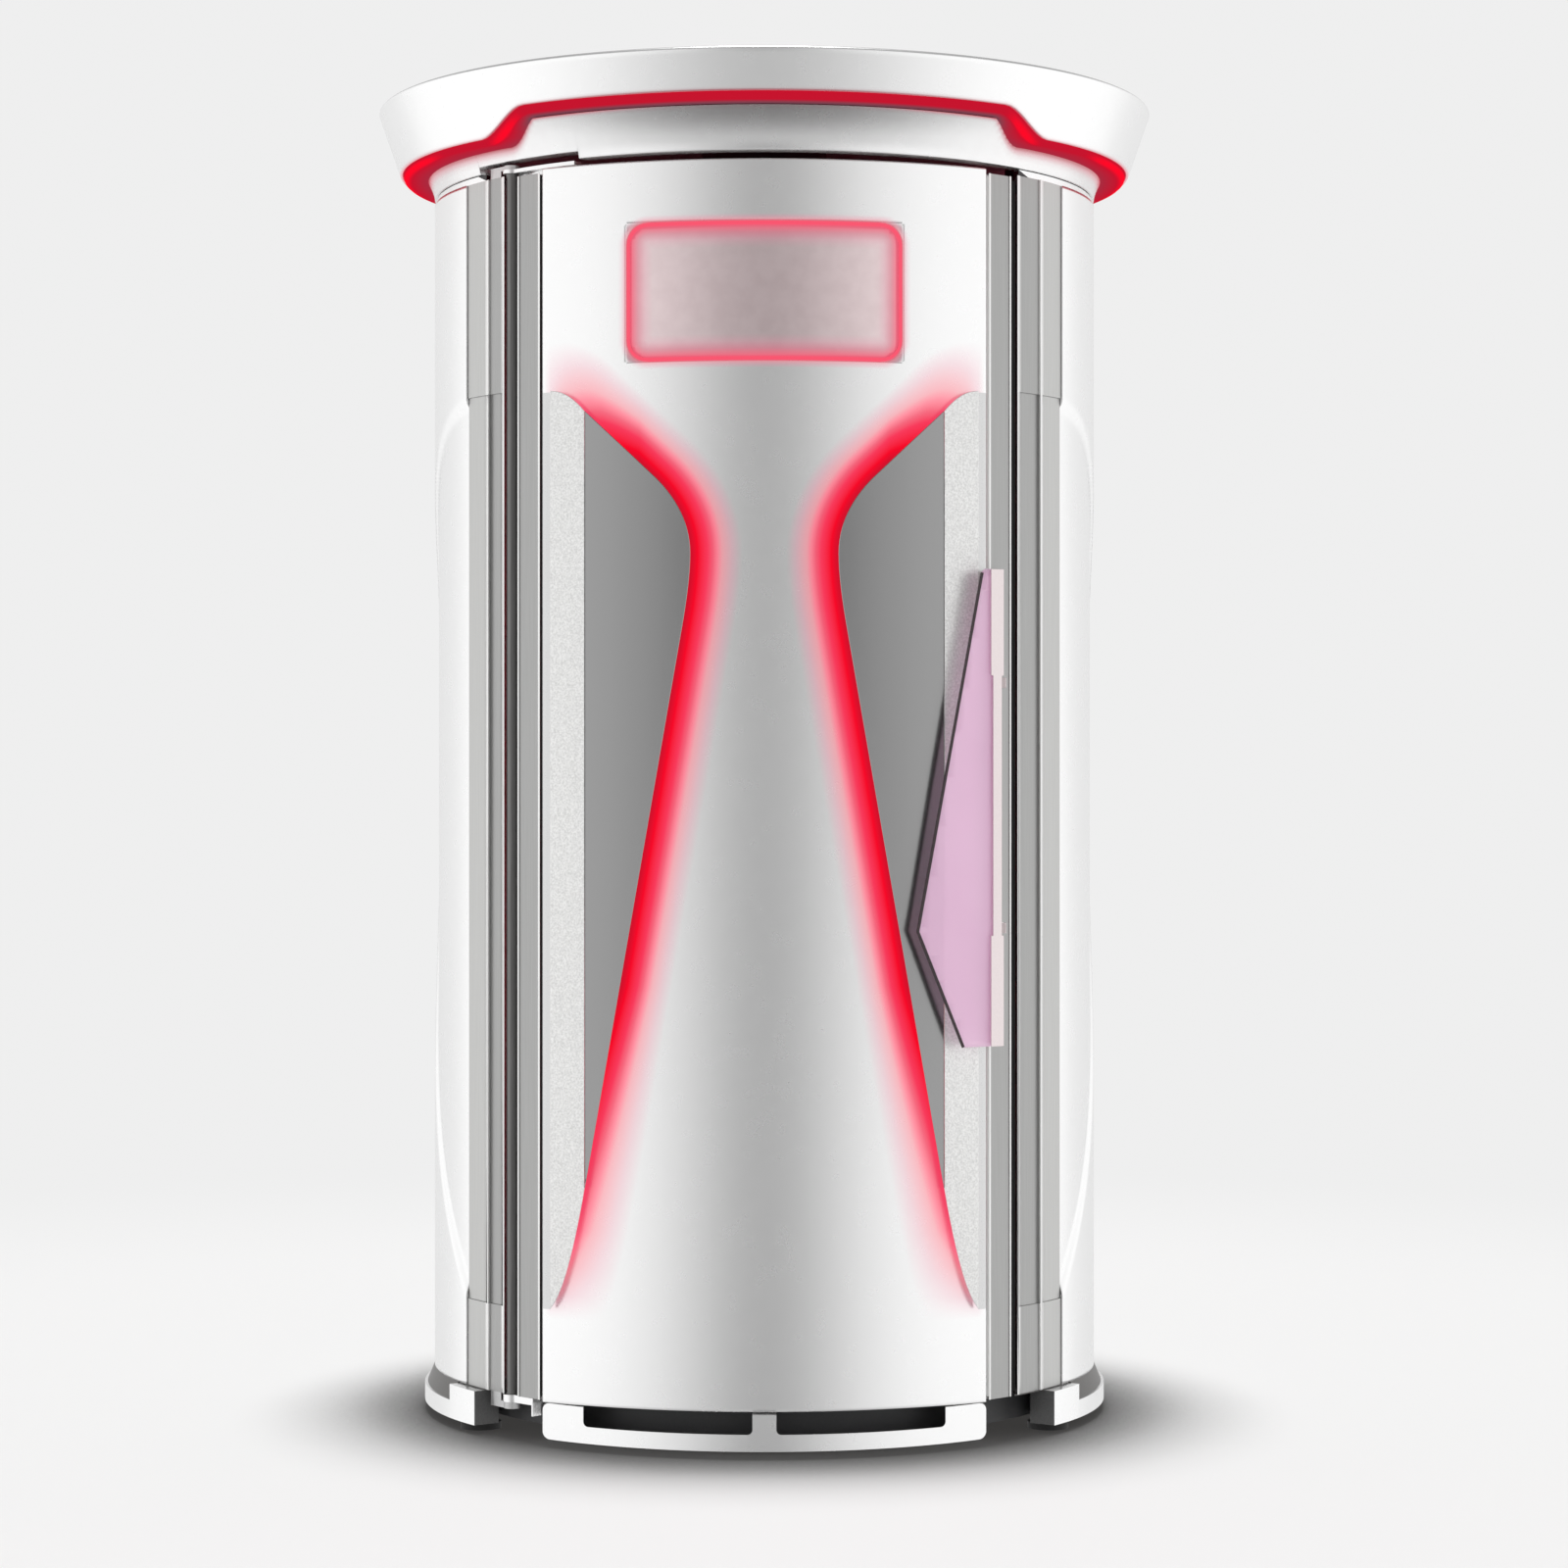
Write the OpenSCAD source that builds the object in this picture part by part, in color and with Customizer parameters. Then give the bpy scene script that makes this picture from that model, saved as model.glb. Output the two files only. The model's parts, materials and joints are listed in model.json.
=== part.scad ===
// Stand-up red light therapy booth.
// Millimetres, Z up, the front (door side) faces -Y, origin on the floor at the booth's axis.
// Plan angles are counted from the front, positive towards +X, where the door handle is.

/* [Cabinet shell] */
// Radius of the round cabinet skin
body_r = 570; // [550:1:620]
// Height of the underside of the side panels above the floor
panel_bottom_z = 75; // [74:1:90]
// Height of the side panels, door and columns
panel_h = 1993; // [1900:1:2200]
// Thickness of the moulded outer panels
panel_t = 4; // [3:0.5:5]
// Plan angle of the joint between side panels and rear service panel
rear_joint_a = 122; // [112:1:135]
// Depth of the sculpted recess in each side panel
scallop_depth = 7; // [4:0.5:9]
// Top of the sculpted recess at the panel's front edge
scallop_top_z = 1714; // [1650:1:1760]
// Bottom of the sculpted recess at the panel's front edge
scallop_bottom_z = 218; // [180:1:300]
// How far the recess reaches back, measured along Y from the front edge
scallop_reach = 350; // [250:5:400]

/* [Front columns] */
// Depth of the aluminium columns behind the cabinet skin
column_depth = 35; // [30:1:40]
// Wall of the column extrusion
column_wall = 3; // [2:0.5:4]
// Depth of the two shallow grooves in the column face
groove_depth = 4; // [2:0.5:5]
// Distance of the right column's inner face from the centre plane
column_right_x = 412; // [411:0.5:416]
// Width of the lip at each column's inner edge
column_lip = 5; // [3:0.5:8]
// Distance of the rib between the two grooves from the centre plane
column_rib_x = 454; // [448:1:460]
// Width of that rib
column_rib_w = 4.5; // [3:0.5:8]
// Width of the columns seen from the front
column_w = 84.1; // [80:0.1:90]

/* [Door leaf] */
// Distance of the stiles' outer faces from the centre plane
door_half_w = 403; // [400:0.5:406]
// Width of each door stile
stile_w = 39; // [34:1:44]
// Depth of the door stiles
stile_depth = 36; // [30:1:40]
// How much lower the stiles end than the door skin
stile_drop = 4; // [2:0.5:6]
// Wall of the stiles and rails
stile_wall = 3; // [2:0.5:4]
// Height of the top and bottom rails
rail_h = 60; // [40:1:90]
// Bend radius of the door skin, flatter than the cabinet
skin_r = 680; // [660:1:700]
// How far the skin's middle lies inside the cabinet's round
skin_inset = 8; // [6:0.5:9]
// Half width of the door skin
skin_half_w = 359; // [354:0.5:361]
// Thickness of the door skin
skin_t = 4; // [3:0.5:5]
// Rounding of the skin's upright edges
skin_edge_r = 10; // [7:0.5:12]
// Gap between the door and what lies under it
door_gap = 2; // [1:0.5:3]

/* [Door wings] */
// Gap between the door skin and the raised wings
wing_standoff = 8; // [6:0.5:12]
// Thickness of the wings
wing_t = 4; // [3:0.5:6]
// Distance of the wings' outer edges from the centre plane
wing_outer_x = 345; // [335:1:348]
// Distance of the joint between wing and edge strip from the centre plane
wing_split_x = 288; // [270:1:300]
// Distance of the wings' innermost point from the centre plane
wing_waist_x = 118; // [100:1:160]
// How far that innermost point lies below the door's top
wing_waist_drop = 628; // [590:1:670]
// How far the wings' top corners lie below the door's top
wing_top_drop = 362; // [330:1:390]
// Bottom tip of the wings
wing_bottom_z = 227; // [180:1:300]
// Width of the light strip behind each wing's inner edge
strip_w = 9; // [6:0.5:14]
// How far the light strip lies behind that edge
strip_inset = 5; // [3:0.5:8]

/* [Sign window] */
// Width of the lit sign window
sign_w = 440; // [380:1:460]
// Height of the lit sign window
sign_h = 221; // [180:1:240]
// How far the window's centre lies below the door's top
sign_drop = 210; // [190:1:220]
// Corner radius of the window
sign_corner_r = 22; // [15:0.5:30]
// Width of the glowing border
sign_border = 8; // [5:0.5:12]

/* [Door handle] */
// Distance of the handle bar's centre from the centre plane
handle_x = 374; // [371:0.5:378]
// Lower end of the handle bar
handle_bottom_z = 652; // [600:1:700]
// Length of the handle bar
handle_h = 766; // [700:1:800]
// Length of the wide block at the bar's top
handle_top_block = 171; // [120:1:200]
// Length of the wide block at the bar's bottom
handle_low_block = 178; // [120:1:200]
// Width of the end blocks
handle_block_w = 21; // [18:0.5:24]
// Width of the bar between the blocks
handle_rail_w = 14.5; // [12:0.5:16]
// Free gap between wing and acrylic handle plate
handle_gap = 24; // [20:1:32]
// Thickness of the acrylic handle plate
handle_plate_t = 5; // [4:0.5:8]
// Distance of the handle plate's tip from the centre plane
handle_tip_x = 244; // [220:1:280]
// Height of that tip
handle_tip_z = 838; // [760:1:900]

/* [Hinge] */
// Distance of the hinge axis from the centre plane
hinge_x = 413.5; // [413:0.25:414.5]
// How deep the hinge axis lies inside the cabinet's round
hinge_inset = 13; // [12:0.5:13.5]
// Outer radius of the hinge tube
hinge_tube_r = 9.5; // [9:0.25:10]
// Radius of the hinge pins
hinge_pin_r = 6; // [4:0.5:7]
// Running clearance of the pins, on the radius
hinge_clearance = 0.05; // [0.02:0.01:0.1]
// Length of pin inside the tube
hinge_pin_in = 56; // [40:1:90]
// Thickness of the hinge arms
hinge_arm_t = 6; // [4:0.5:7]
// Gap between the door's top and the top hinge arm over it
hinge_arm_rise = 4; // [0.4:0.1:4.5]
// Plan angle from the hinge axis at which the top arm ends
hinge_arm_reach = 15; // [10:0.5:20]

/* [Canopy] */
// How far the canopy's upper edge stands out from the cabinet skin
crown_top_out = 97; // [85:1:120]
// Height of the canopy's upper edge above the side panels
crown_top_rise = 160; // [150:1:180]
// How far the canopy's lower rim stands out at the sides
crown_rim_out = 59; // [54:1:66]
// Height of that rim above the side panels
crown_rim_rise = 51; // [40:1:60]
// Height of the raised rim in front above the side panels
crown_front_rise = 93; // [85:1:100]
// Half width of the raised part of the rim
crown_front_half_w = 388; // [340:1:400]
// Half width at which the rim is down at the side height
crown_side_half_w = 461; // [440:1:480]
// Wall of the canopy crown
crown_t = 5; // [3:0.5:7]
// How far the fascia's upper edge stands out
fascia_out = 37; // [30:1:40]
// Height of the fascia
fascia_h = 68; // [60:1:72]
// Wall of the fascia
fascia_t = 4; // [3:0.5:6]
// How far the lit strip hangs below the raised rim
glow_drop = 16; // [10:1:20]

/* [Base] */
// How far the white base skirt stands out from the cabinet skin
skirt_out = 17; // [15:0.5:24]
// Underside of the skirt above the floor
skirt_bottom_z = 16; // [15:0.5:20]
// Upper edge of the skirt above the floor
skirt_top_z = 46; // [42:0.5:50]
// Wall of the skirt
skirt_t = 4; // [3:0.5:5]
// Plan angle from the start of the skirt's end blocks to the side panels
block_lead_a = 6; // [5:0.5:6.5]
// Plan angle that the end blocks reach back under the side panels
block_tail_a = 3; // [2:0.5:4]
// How far the dark pan's lower edge stands out
pan_out = 12; // [10:0.5:13]
// Sheet of the pan
pan_t = 2; // [1.5:0.5:2]
// How far the base ring lies inside the cabinet skin
ring_in = 52; // [51:1:60]
// Width of the base ring and beams
ring_w = 40; // [30:1:60]
// Underside of the base ring above the floor
ring_bottom_z = 24; // [22:1:30]
// Wall of the base ring and beams
ring_t = 3; // [2:0.5:4]
// Radius of the levelling feet
foot_r = 34; // [25:1:36]
// Height of the rubber foot disc
foot_h = 14; // [10:1:15]
// Radius of the foot's threaded stem
foot_stem_r = 8; // [6:0.5:10]
// Height of the pads on the base ring that hold the feet
foot_pad_h = 23; // [18:1:24]
// How far the feet's centres lie inside the cabinet skin
foot_in = 30; // [29:1:36]
// Plan angle of the feet behind the front edge of the side panels
foot_lag_a = 0.7; // [0.5:0.1:1.5]

/* [Toe grille] */
// How far the toe grille stands out from the cabinet skin
toe_out = 5; // [2:0.5:10]
// Half width of the toe grille
toe_half_w = 359; // [350:1:361]
// Underside of the toe grille above the floor
toe_bottom_z = 13.5; // [12:0.5:16]
// Wall of the toe grille
toe_t = 4; // [3:0.5:5]
// Corner radius of the toe grille in front view
toe_corner_r = 12; // [8:0.5:16]
// Height of the lip below the air openings
vent_lip_h = 27; // [20:0.5:32]
// Half width of the rib between the two air openings
vent_inner_x = 19; // [15:1:30]
// Outer end of the air openings from the centre plane
vent_outer_x = 291; // [260:1:310]

/* [Cabin inside] */
// How far the acrylic guards lie inside the cabinet skin
guard_in = 140; // [130:1:145]
// Thickness of the acrylic guards
guard_t = 4; // [3:0.5:5]
// How far the lamps' centres lie inside the cabinet skin
lamp_in = 103; // [100:1:107]
// Radius of a lamp tube
lamp_r = 19; // [13:0.5:19]
// Glass wall of a lamp tube
lamp_wall = 1; // [0.7:0.1:2]
// Lamps in the fixed part of the cabin
cabin_lamps = 16; // [10:1:16]
// Lamps in the door
door_lamps = 6; // [4:1:6]
// How far the reflector sheet lies inside the cabinet skin
reflector_in = 70; // [68:1:74]
// Sheet of the reflectors
reflector_t = 1.5; // [1:0.5:2]
// Thickness of the floor deck
deck_t = 13; // [10:1:16]
// How far the floor deck and the ceiling panel end inside the cabinet skin
deck_in = 65; // [62:0.5:66]
// Thickness of the rubber floor mat
mat_t = 5; // [3:1:8]
// Thickness of the ceiling panel
ceiling_t = 6; // [4:1:8]
// Gap between ceiling panel and the top frame above it
ceiling_drop = 10; // [8:1:14]
// Height of a lampholder
holder_h = 24; // [20:1:30]
// Plan angle that the inner covers reach forward from the side panels' edge
cover_lead_a = 7.5; // [6.5:0.5:8.5]
// Plan angle that those covers reach back to the acrylic guards
cover_tail_a = 5.5; // [4.5:0.5:6.5]
// Length of a lamp driver
driver_h = 220; // [160:5:260]
// Width of a lamp driver
driver_w = 50; // [40:1:60]
// Depth of a lamp driver
driver_d = 36; // [30:1:38]
// Radius of the ceiling grab bars
grab_r = 12; // [10:0.5:15]
// Distance of the grab bars from the centre plane
grab_x = 240; // [220:1:260]
// Length of a grab bar between its legs
grab_len = 160; // [120:1:200]
// How far the grab bars hang below the ceiling
grab_drop = 100; // [80:1:130]

/* [Exhaust fan] */
// Inner radius of the fan housing
fan_r = 105; // [100:1:108]
// Radius over the fan blades
blade_r = 97; // [80:1:98]
// Number of fan blades
blades = 5; // [3:1:7]
// Width of a fan blade
blade_w = 48; // [36:1:50]
// Radius of the fan hub
hub_r = 32; // [25:1:36]
// Height of the fan hub
hub_h = 30; // [24:1:32]
// Radius of the fan shaft
shaft_r = 5; // [4:0.5:8]
// Outer radius of the exhaust spigot
spigot_r = 100; // [80:1:110]
// Height of the exhaust spigot above the roof plate
spigot_h = 30; // [20:1:30]

/* [Controls] */
// Plan angle of the control panel ahead of the side panels' edge
pod_lead_a = 1; // [0:0.5:2]
// Width of the control panel
pod_w = 92; // [84:1:96]
// Height of the control panel
pod_h = 190; // [180:1:220]
// Depth of the control panel
pod_d = 22; // [20:1:30]
// Underside of the control panel above the floor
pod_z = 1250; // [1100:1:1400]
// Radius of the push buttons
button_r = 8; // [6:0.5:9]
// Travel of the push buttons
button_travel = 1.5; // [1:0.1:2]
// Radius of the emergency stop's head
stop_r = 17; // [14:0.5:20]
// Travel of the emergency stop
stop_travel = 3.5; // [2:0.5:4]
// Centre height of the mains connection box above the floor
inlet_z = 180; // [160:1:260]
// Width of the mains connection box
inlet_w = 130; // [120:1:160]
// Height of the mains connection box
inlet_h = 80; // [70:1:120]

/* [Hidden] */
$fn = 96;

seat_gap = 0.3;                       // between curved faces that sit against each other
far = 1500;                           // beyond everything in plan
full_a = 360;
panel_edge_a = asin((column_right_x + column_w) / body_r);
skin_front = body_r - skin_inset;
hinge_r = body_r - hinge_inset;
crown_top_r = body_r + crown_top_out;
crown_rim_r = body_r + crown_rim_out;
fascia_top_r = body_r + fascia_out;
skirt_r = body_r + skirt_out;
pan_low_r = body_r + pan_out;
toe_r = body_r + toe_out;
ring_r = body_r - ring_in;
foot_ring_r = body_r - foot_in;
foot_a = panel_edge_a + foot_lag_a;
block_start_a = panel_edge_a - block_lead_a;
block_end_a = panel_edge_a + block_tail_a;
guard_r = body_r - guard_in;
lamp_circle_r = body_r - lamp_in;
reflector_r = body_r - reflector_in;
deck_r = body_r - deck_in;
cover_start_a = panel_edge_a - cover_lead_a;
cover_end_a = panel_edge_a + cover_tail_a;
panel_a = panel_edge_a - pod_lead_a;
panel_top_z = panel_bottom_z + panel_h;
frame_t = 10;                         // plate of the top frame
frame_top_z = panel_top_z + frame_t;
column_inner_r = body_r - column_depth;
column_left_x = hinge_x + hinge_tube_r + 1.5;
stile_inner_r = body_r - stile_depth;
stile_inner_x = door_half_w - stile_w;
skin_y = skin_r - skin_front;         // the skin's bend centre lies behind the booth axis
door_bottom_z = panel_bottom_z - 1;
door_top_z = panel_top_z;
wing_waist_z = door_top_z - wing_waist_drop;
wing_top_z = door_top_z - wing_top_drop;
sign_z = door_top_z - sign_drop;
stile_top_z = door_top_z - stile_drop;
hinge_y = -sqrt(hinge_r * hinge_r - hinge_x * hinge_x);
hinge_a = -asin(hinge_x / hinge_r);
deck_top_z = panel_bottom_z + deck_t;
ceiling_top_z = panel_top_z - ceiling_drop;
ceiling_z = ceiling_top_z - ceiling_t;
shelf_t = 3;                          // shelves of the door rails that carry its lampholders
shelf_gap = 4;                        // between those shelves and the deck or ceiling
shelf_low_z = deck_top_z + shelf_gap;
shelf_high_z = ceiling_z - shelf_gap - shelf_t;
wing_r = skin_r + wing_standoff;
handle_r = wing_r + wing_t + handle_gap;
crown_top_z = panel_top_z + crown_top_rise;
crown_rim_z = panel_top_z + crown_rim_rise;
crown_front_z = panel_top_z + crown_front_rise;
fascia_top_z = frame_top_z + fascia_h;
roof_z = crown_top_z - 38;            // top of the sunk roof plate
roof_t = 6;
pad_r = foot_r + 2;
flange_r = foot_ring_r + pad_r + 2;

function polar(r, a) = [r * sin(a), -r * cos(a)];
function bezier(p, n) = [for (i = [1:n]) let (t = i / n, u = 1 - t)
    u * u * u * p[0] + 3 * u * u * t * p[1] + 3 * u * t * t * p[2] + t * t * t * p[3]];
function mirrored(pts) = [for (i = [len(pts) - 1:-1:0]) [-pts[i][0], pts[i][1]]];

// A piece placed on the plan circle, its own +Y pointing at the booth axis
module at_polar(r, a, z = 0) {
    translate([r * sin(a), -r * cos(a), z]) rotate([0, 0, a]) children();
}

module plan_ring(r0, r1) {
    difference() {
        circle(r1);
        circle(r0);
    }
}

module sector(a0, a1) {
    mid = (a0 + a1) / 2;
    polygon([[0, 0], polar(far, a0), polar(far * 1.3, (a0 + mid) / 2), polar(far * 1.3, mid),
             polar(far * 1.3, (mid + a1) / 2), polar(far, a1)]);
}

module slab(x0, x1) {
    translate([x0, -far]) square([x1 - x0, far]);
}

module arc_wall(r0, r1, a0, a1, z0, z1) {
    rotate([0, 0, a0 - 90]) rotate_extrude(angle = a1 - a0)
        translate([r0, z0]) square([r1 - r0, z1 - z0]);
}

module ring_wall(r0, r1, z0, z1) {
    translate([0, 0, z0]) linear_extrude(z1 - z0) plan_ring(r0, r1);
}

module rounded_rect(w, h, r) {
    square([w - 2 * r, h], center = true);
    square([w, h - 2 * r], center = true);
    for (sx = [-1, 1], sy = [-1, 1])
        translate([sx * (w / 2 - r), sy * (h / 2 - r)]) circle(r);
}

// Carries a front-view outline (X, Z) through the front half of the booth
module front_prism() {
    rotate([90, 0, 0]) linear_extrude(far) children();
}

module both_sides() {
    children();
    mirror([1, 0, 0]) children();
}

// Base

module foot_places() {
    for (a = [-foot_a, foot_a, 180 - foot_a, 180 + foot_a]) at_polar(foot_ring_r, a) children();
}

module base_beam(len) {
    h = panel_bottom_z - pan_t - ring_bottom_z;
    difference() {
        translate([-len / 2, -ring_w / 2, ring_bottom_z]) cube([len, ring_w, h]);
        translate([-len / 2 - 1, -ring_w / 2 + ring_t, ring_bottom_z - 1])
            cube([len + 2, ring_w - 2 * ring_t, h - ring_t + 1]);
    }
}

module base_frame() {
    top = panel_bottom_z - pan_t;
    color("dimgray") difference() {
        union() {
            difference() {
                ring_wall(ring_r - ring_w, ring_r, ring_bottom_z, top);
                ring_wall(ring_r - ring_w + ring_t, ring_r - ring_t, ring_bottom_z - 1, top - ring_t);
            }
            intersection() {
                cylinder(r = ring_r - ring_w + ring_t / 2, h = top);
                union() {
                    base_beam(2 * ring_r);
                    rotate([0, 0, 90]) base_beam(2 * ring_r);
                }
            }
            foot_places() translate([0, 0, ring_bottom_z + 6]) cylinder(r = pad_r, h = foot_pad_h);
        }
        foot_places() cylinder(r = foot_stem_r + hinge_clearance, h = top - 12);
    }
}

module base_pan() {
    color([0.4, 0.39, 0.38]) union() {
        translate([0, 0, panel_bottom_z - pan_t]) linear_extrude(pan_t) difference() {
            circle(body_r - panel_t);
            intersection() {
                plan_ring(ring_r + 1.5, body_r + 10);
                slab(-column_left_x - 28, door_half_w + 6);
            }
        }
        rotate([0, 0, block_end_a + 0.3 - 90]) rotate_extrude(angle = full_a - 2 * block_end_a - 0.6)
            polygon([
                [body_r - panel_t - 1, panel_bottom_z], [body_r, panel_bottom_z], [pan_low_r, skirt_top_z],
                [pan_low_r - pan_t, skirt_top_z], [body_r - pan_t, panel_bottom_z - pan_t],
                [body_r - panel_t - 1, panel_bottom_z - pan_t]
            ]);
    }
}

// The skirt comes in two halves that meet behind the booth. Each has an end block in front, open at its
// back, at its underside and towards the foot behind it
module base_skirt() {
    top = panel_bottom_z - pan_t - seat_gap;
    inner_r = column_inner_r + 5;
    rear_a = 179.95;
    rib_a = 0.45;
    lip_t = 3;
    color("white") both_sides() difference() {
        arc_wall(inner_r, skirt_r, block_start_a, rear_a, skirt_bottom_z, top);
        arc_wall(inner_r - 1, skirt_r + 1, block_end_a, rear_a + 1, skirt_top_z, top + 1);
        arc_wall(inner_r - 2, skirt_r - skirt_t, block_end_a, rear_a + 2, skirt_bottom_z - 1, skirt_top_z - lip_t);
        arc_wall(inner_r - 3, flange_r, block_end_a - 2 * rib_a, rear_a + 3, skirt_bottom_z - 2, top - skirt_t - 1);
        arc_wall(inner_r - 4, skirt_r - skirt_t, block_start_a + rib_a, block_end_a - rib_a,
                 skirt_bottom_z - 3, top - skirt_t);
    }
}

module toe_outline(grow) {
    h = door_bottom_z - door_gap - toe_bottom_z;
    translate([0, toe_bottom_z + h / 2])
        rounded_rect(2 * toe_half_w - 2 * grow, h - 2 * grow, max(toe_corner_r - grow, 2));
}

// An air opening, open at its top right under the door
module vent_outline() {
    vent_w = vent_outer_x - vent_inner_x;
    low = toe_bottom_z + vent_lip_h;
    h = door_bottom_z - low;
    translate([vent_inner_x + vent_w / 2, low + h / 2]) square([vent_w - 14, h], center = true);
    translate([vent_inner_x + vent_w / 2, low + h / 2 + 4]) square([vent_w, h - 8], center = true);
    for (s = [-1, 1]) translate([vent_inner_x + vent_w / 2 + s * (vent_w / 2 - 8), low + 8]) circle(8);
}

module toe_grille() {
    color("white") difference() {
        intersection() {
            ring_wall(ring_r + seat_gap, toe_r, 0, panel_bottom_z);
            front_prism() toe_outline(0);
        }
        intersection() {
            ring_wall(ring_r - 1, toe_r - toe_t, -1, panel_bottom_z);
            difference() {
                front_prism() toe_outline(toe_t);
                translate([-toe_t, -far, 0]) cube([2 * toe_t, far, panel_bottom_z]);
            }
        }
        both_sides() front_prism() vent_outline();
    }
}

module leveling_feet() {
    stem_top = panel_bottom_z - pan_t - 14;
    color([0.07, 0.07, 0.07]) foot_places() union() {
        cylinder(r = foot_r, h = foot_h - 3);
        translate([0, 0, foot_h - 3]) cylinder(r1 = foot_r, r2 = foot_r - 6, h = 3);
        cylinder(r = foot_stem_r, h = stem_top);
        translate([0, 0, foot_h]) cylinder(r = foot_stem_r * 1.7, h = ring_bottom_z + 6 - foot_h, $fn = 6);
    }
}

// Cabin floor and walls

module floor_deck() {
    color("whitesmoke") translate([0, 0, panel_bottom_z]) cylinder(r = deck_r, h = deck_t);
}

module floor_mat() {
    color([0.15, 0.15, 0.16]) translate([0, 0, deck_top_z])
        cylinder(r = guard_r - 12, h = mat_t);
}

// Leaf-shaped recess in side view (Y, Z); grow moves its outline outwards
module scallop_outline(grow) {
    y0 = -body_r;
    edge_y = -body_r * cos(panel_edge_a) - 40;
    back = edge_y + 40 + scallop_reach + grow;
    top = scallop_top_z + grow;
    low = scallop_bottom_z - grow;
    mid = low + (top - low) * 0.62;
    upper = bezier([[edge_y, top], [edge_y + 120, top], [back, top - 90], [back, mid]], 10);
    lower = bezier([[back, mid], [back, low + (mid - low) * 0.45], [edge_y + 110, low + 120], [edge_y + 40, low]], 12);
    polygon(concat([[y0, low], [y0, top], [edge_y, top]], upper, lower));
}

module scallop_prism(grow) {
    rotate([90, 0, 90]) linear_extrude(far) scallop_outline(grow);
}

module side_shell() {
    floor_r = body_r - scallop_depth;
    union() {
        difference() {
            arc_wall(body_r - panel_t, body_r, panel_edge_a, rear_joint_a, panel_bottom_z, panel_top_z);
            scallop_prism(0);
        }
        intersection() {
            arc_wall(floor_r - panel_t, floor_r, panel_edge_a, rear_joint_a, panel_bottom_z, panel_top_z);
            scallop_prism(panel_t);
        }
        intersection() {
            arc_wall(floor_r - panel_t, body_r, panel_edge_a, rear_joint_a, panel_bottom_z, panel_top_z);
            difference() {
                scallop_prism(panel_t);
                scallop_prism(0);
            }
        }
    }
}

module side_panel_right() {
    color("white") side_shell();
}

module side_panel_left() {
    color("white") mirror([1, 0, 0]) side_shell();
}

module rear_slots() {
    for (row = [0, 1], i = [-5:5])
        at_polar(body_r, 180 + i * 3, panel_bottom_z + (row == 0 ? panel_h - 160 : 240))
            translate([-4, -20, 0]) cube([8, 40, 70]);
}

module screw_places() {
    span = full_a - 2 * rear_joint_a;
    for (side = [-1, 1], i = [0:4])
        at_polar(body_r, 180 + side * (span / 2 - 2), panel_bottom_z + 60 + i * (panel_h - 120) / 4) children();
}

module rear_service_panel() {
    color("white") difference() {
        arc_wall(body_r - panel_t, body_r, rear_joint_a + 0.1, full_a - rear_joint_a - 0.1, panel_bottom_z, panel_top_z);
        rear_slots();
        screw_places() rotate([90, 0, 0]) cylinder(r = 3, h = 40, center = true);
        at_polar(body_r, 180, inlet_z) translate([-42, -10, -15]) cube([84, 30, 30]);
    }
}

module panel_screws() {
    color("silver") screw_places() rotate([90, 0, 0]) {
        translate([0, 0, 0.1]) cylinder(r = 6, h = 2.4);
        translate([0, 0, -12]) cylinder(r = 2.7, h = 12.2);
    }
}

// Column section in plan for the +X side; x_in is the flat inner face
module column_plan(x_in) {
    face_r = body_r - groove_depth;
    difference() {
        intersection() {
            plan_ring(column_inner_r, body_r);
            slab(x_in, far);
            sector(0, panel_edge_a - 0.05);
        }
        intersection() {
            plan_ring(face_r, body_r + 1);
            slab(x_in + column_lip, column_rib_x);
        }
        intersection() {
            plan_ring(face_r, body_r + 1);
            slab(column_rib_x + column_rib_w, far);
        }
        intersection() {
            plan_ring(column_inner_r + column_wall, face_r - column_wall);
            slab(x_in + column_wall, far);
            sector(0, panel_edge_a - 0.5);
        }
    }
}

module column_bar(x_in) {
    translate([0, 0, panel_bottom_z]) linear_extrude(panel_h) column_plan(x_in);
}

module front_column_right() {
    color([0.72, 0.72, 0.72]) column_bar(column_right_x);
}

module front_column_left() {
    color([0.72, 0.72, 0.72]) mirror([1, 0, 0]) column_bar(column_left_x);
}

module cover_shell() {
    top = ceiling_z;
    arc_wall(guard_r, guard_r + guard_t, cover_start_a, cover_end_a, deck_top_z, top);
    arc_wall(guard_r, column_inner_r - seat_gap, cover_start_a, cover_start_a + 0.35, deck_top_z, top);
}

module inner_cover_right() {
    color("whitesmoke") cover_shell();
}

module inner_cover_left() {
    color("whitesmoke") mirror([1, 0, 0]) cover_shell();
}

module frame_posts() {
    size = 30;
    wall = 3;
    color("gray") for (a = [panel_edge_a + 6, rear_joint_a - 4, 180, full_a - rear_joint_a + 4, full_a - panel_edge_a - 6])
        at_polar(column_inner_r + 3, a, panel_bottom_z) linear_extrude(panel_h) difference() {
            square(size, center = true);
            square(size - 2 * wall, center = true);
        }
}

module top_frame() {
    post_h = roof_z - roof_t - frame_top_z;
    color("dimgray") union() {
        translate([0, 0, panel_top_z]) linear_extrude(frame_t) difference() {
            plan_ring(guard_r + 10, body_r - panel_t);
            intersection() {
                plan_ring(deck_r, body_r);
                slab(-column_left_x - 34, column_right_x + 4);
            }
        }
        for (a = [panel_edge_a + 5.5, 120, 180, 240, full_a - panel_edge_a - 5.5])
            at_polar(column_inner_r - 10, a, frame_top_z) translate([-15, -15, 0]) cube([30, 30, post_h]);
    }
}

// Canopy

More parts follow.
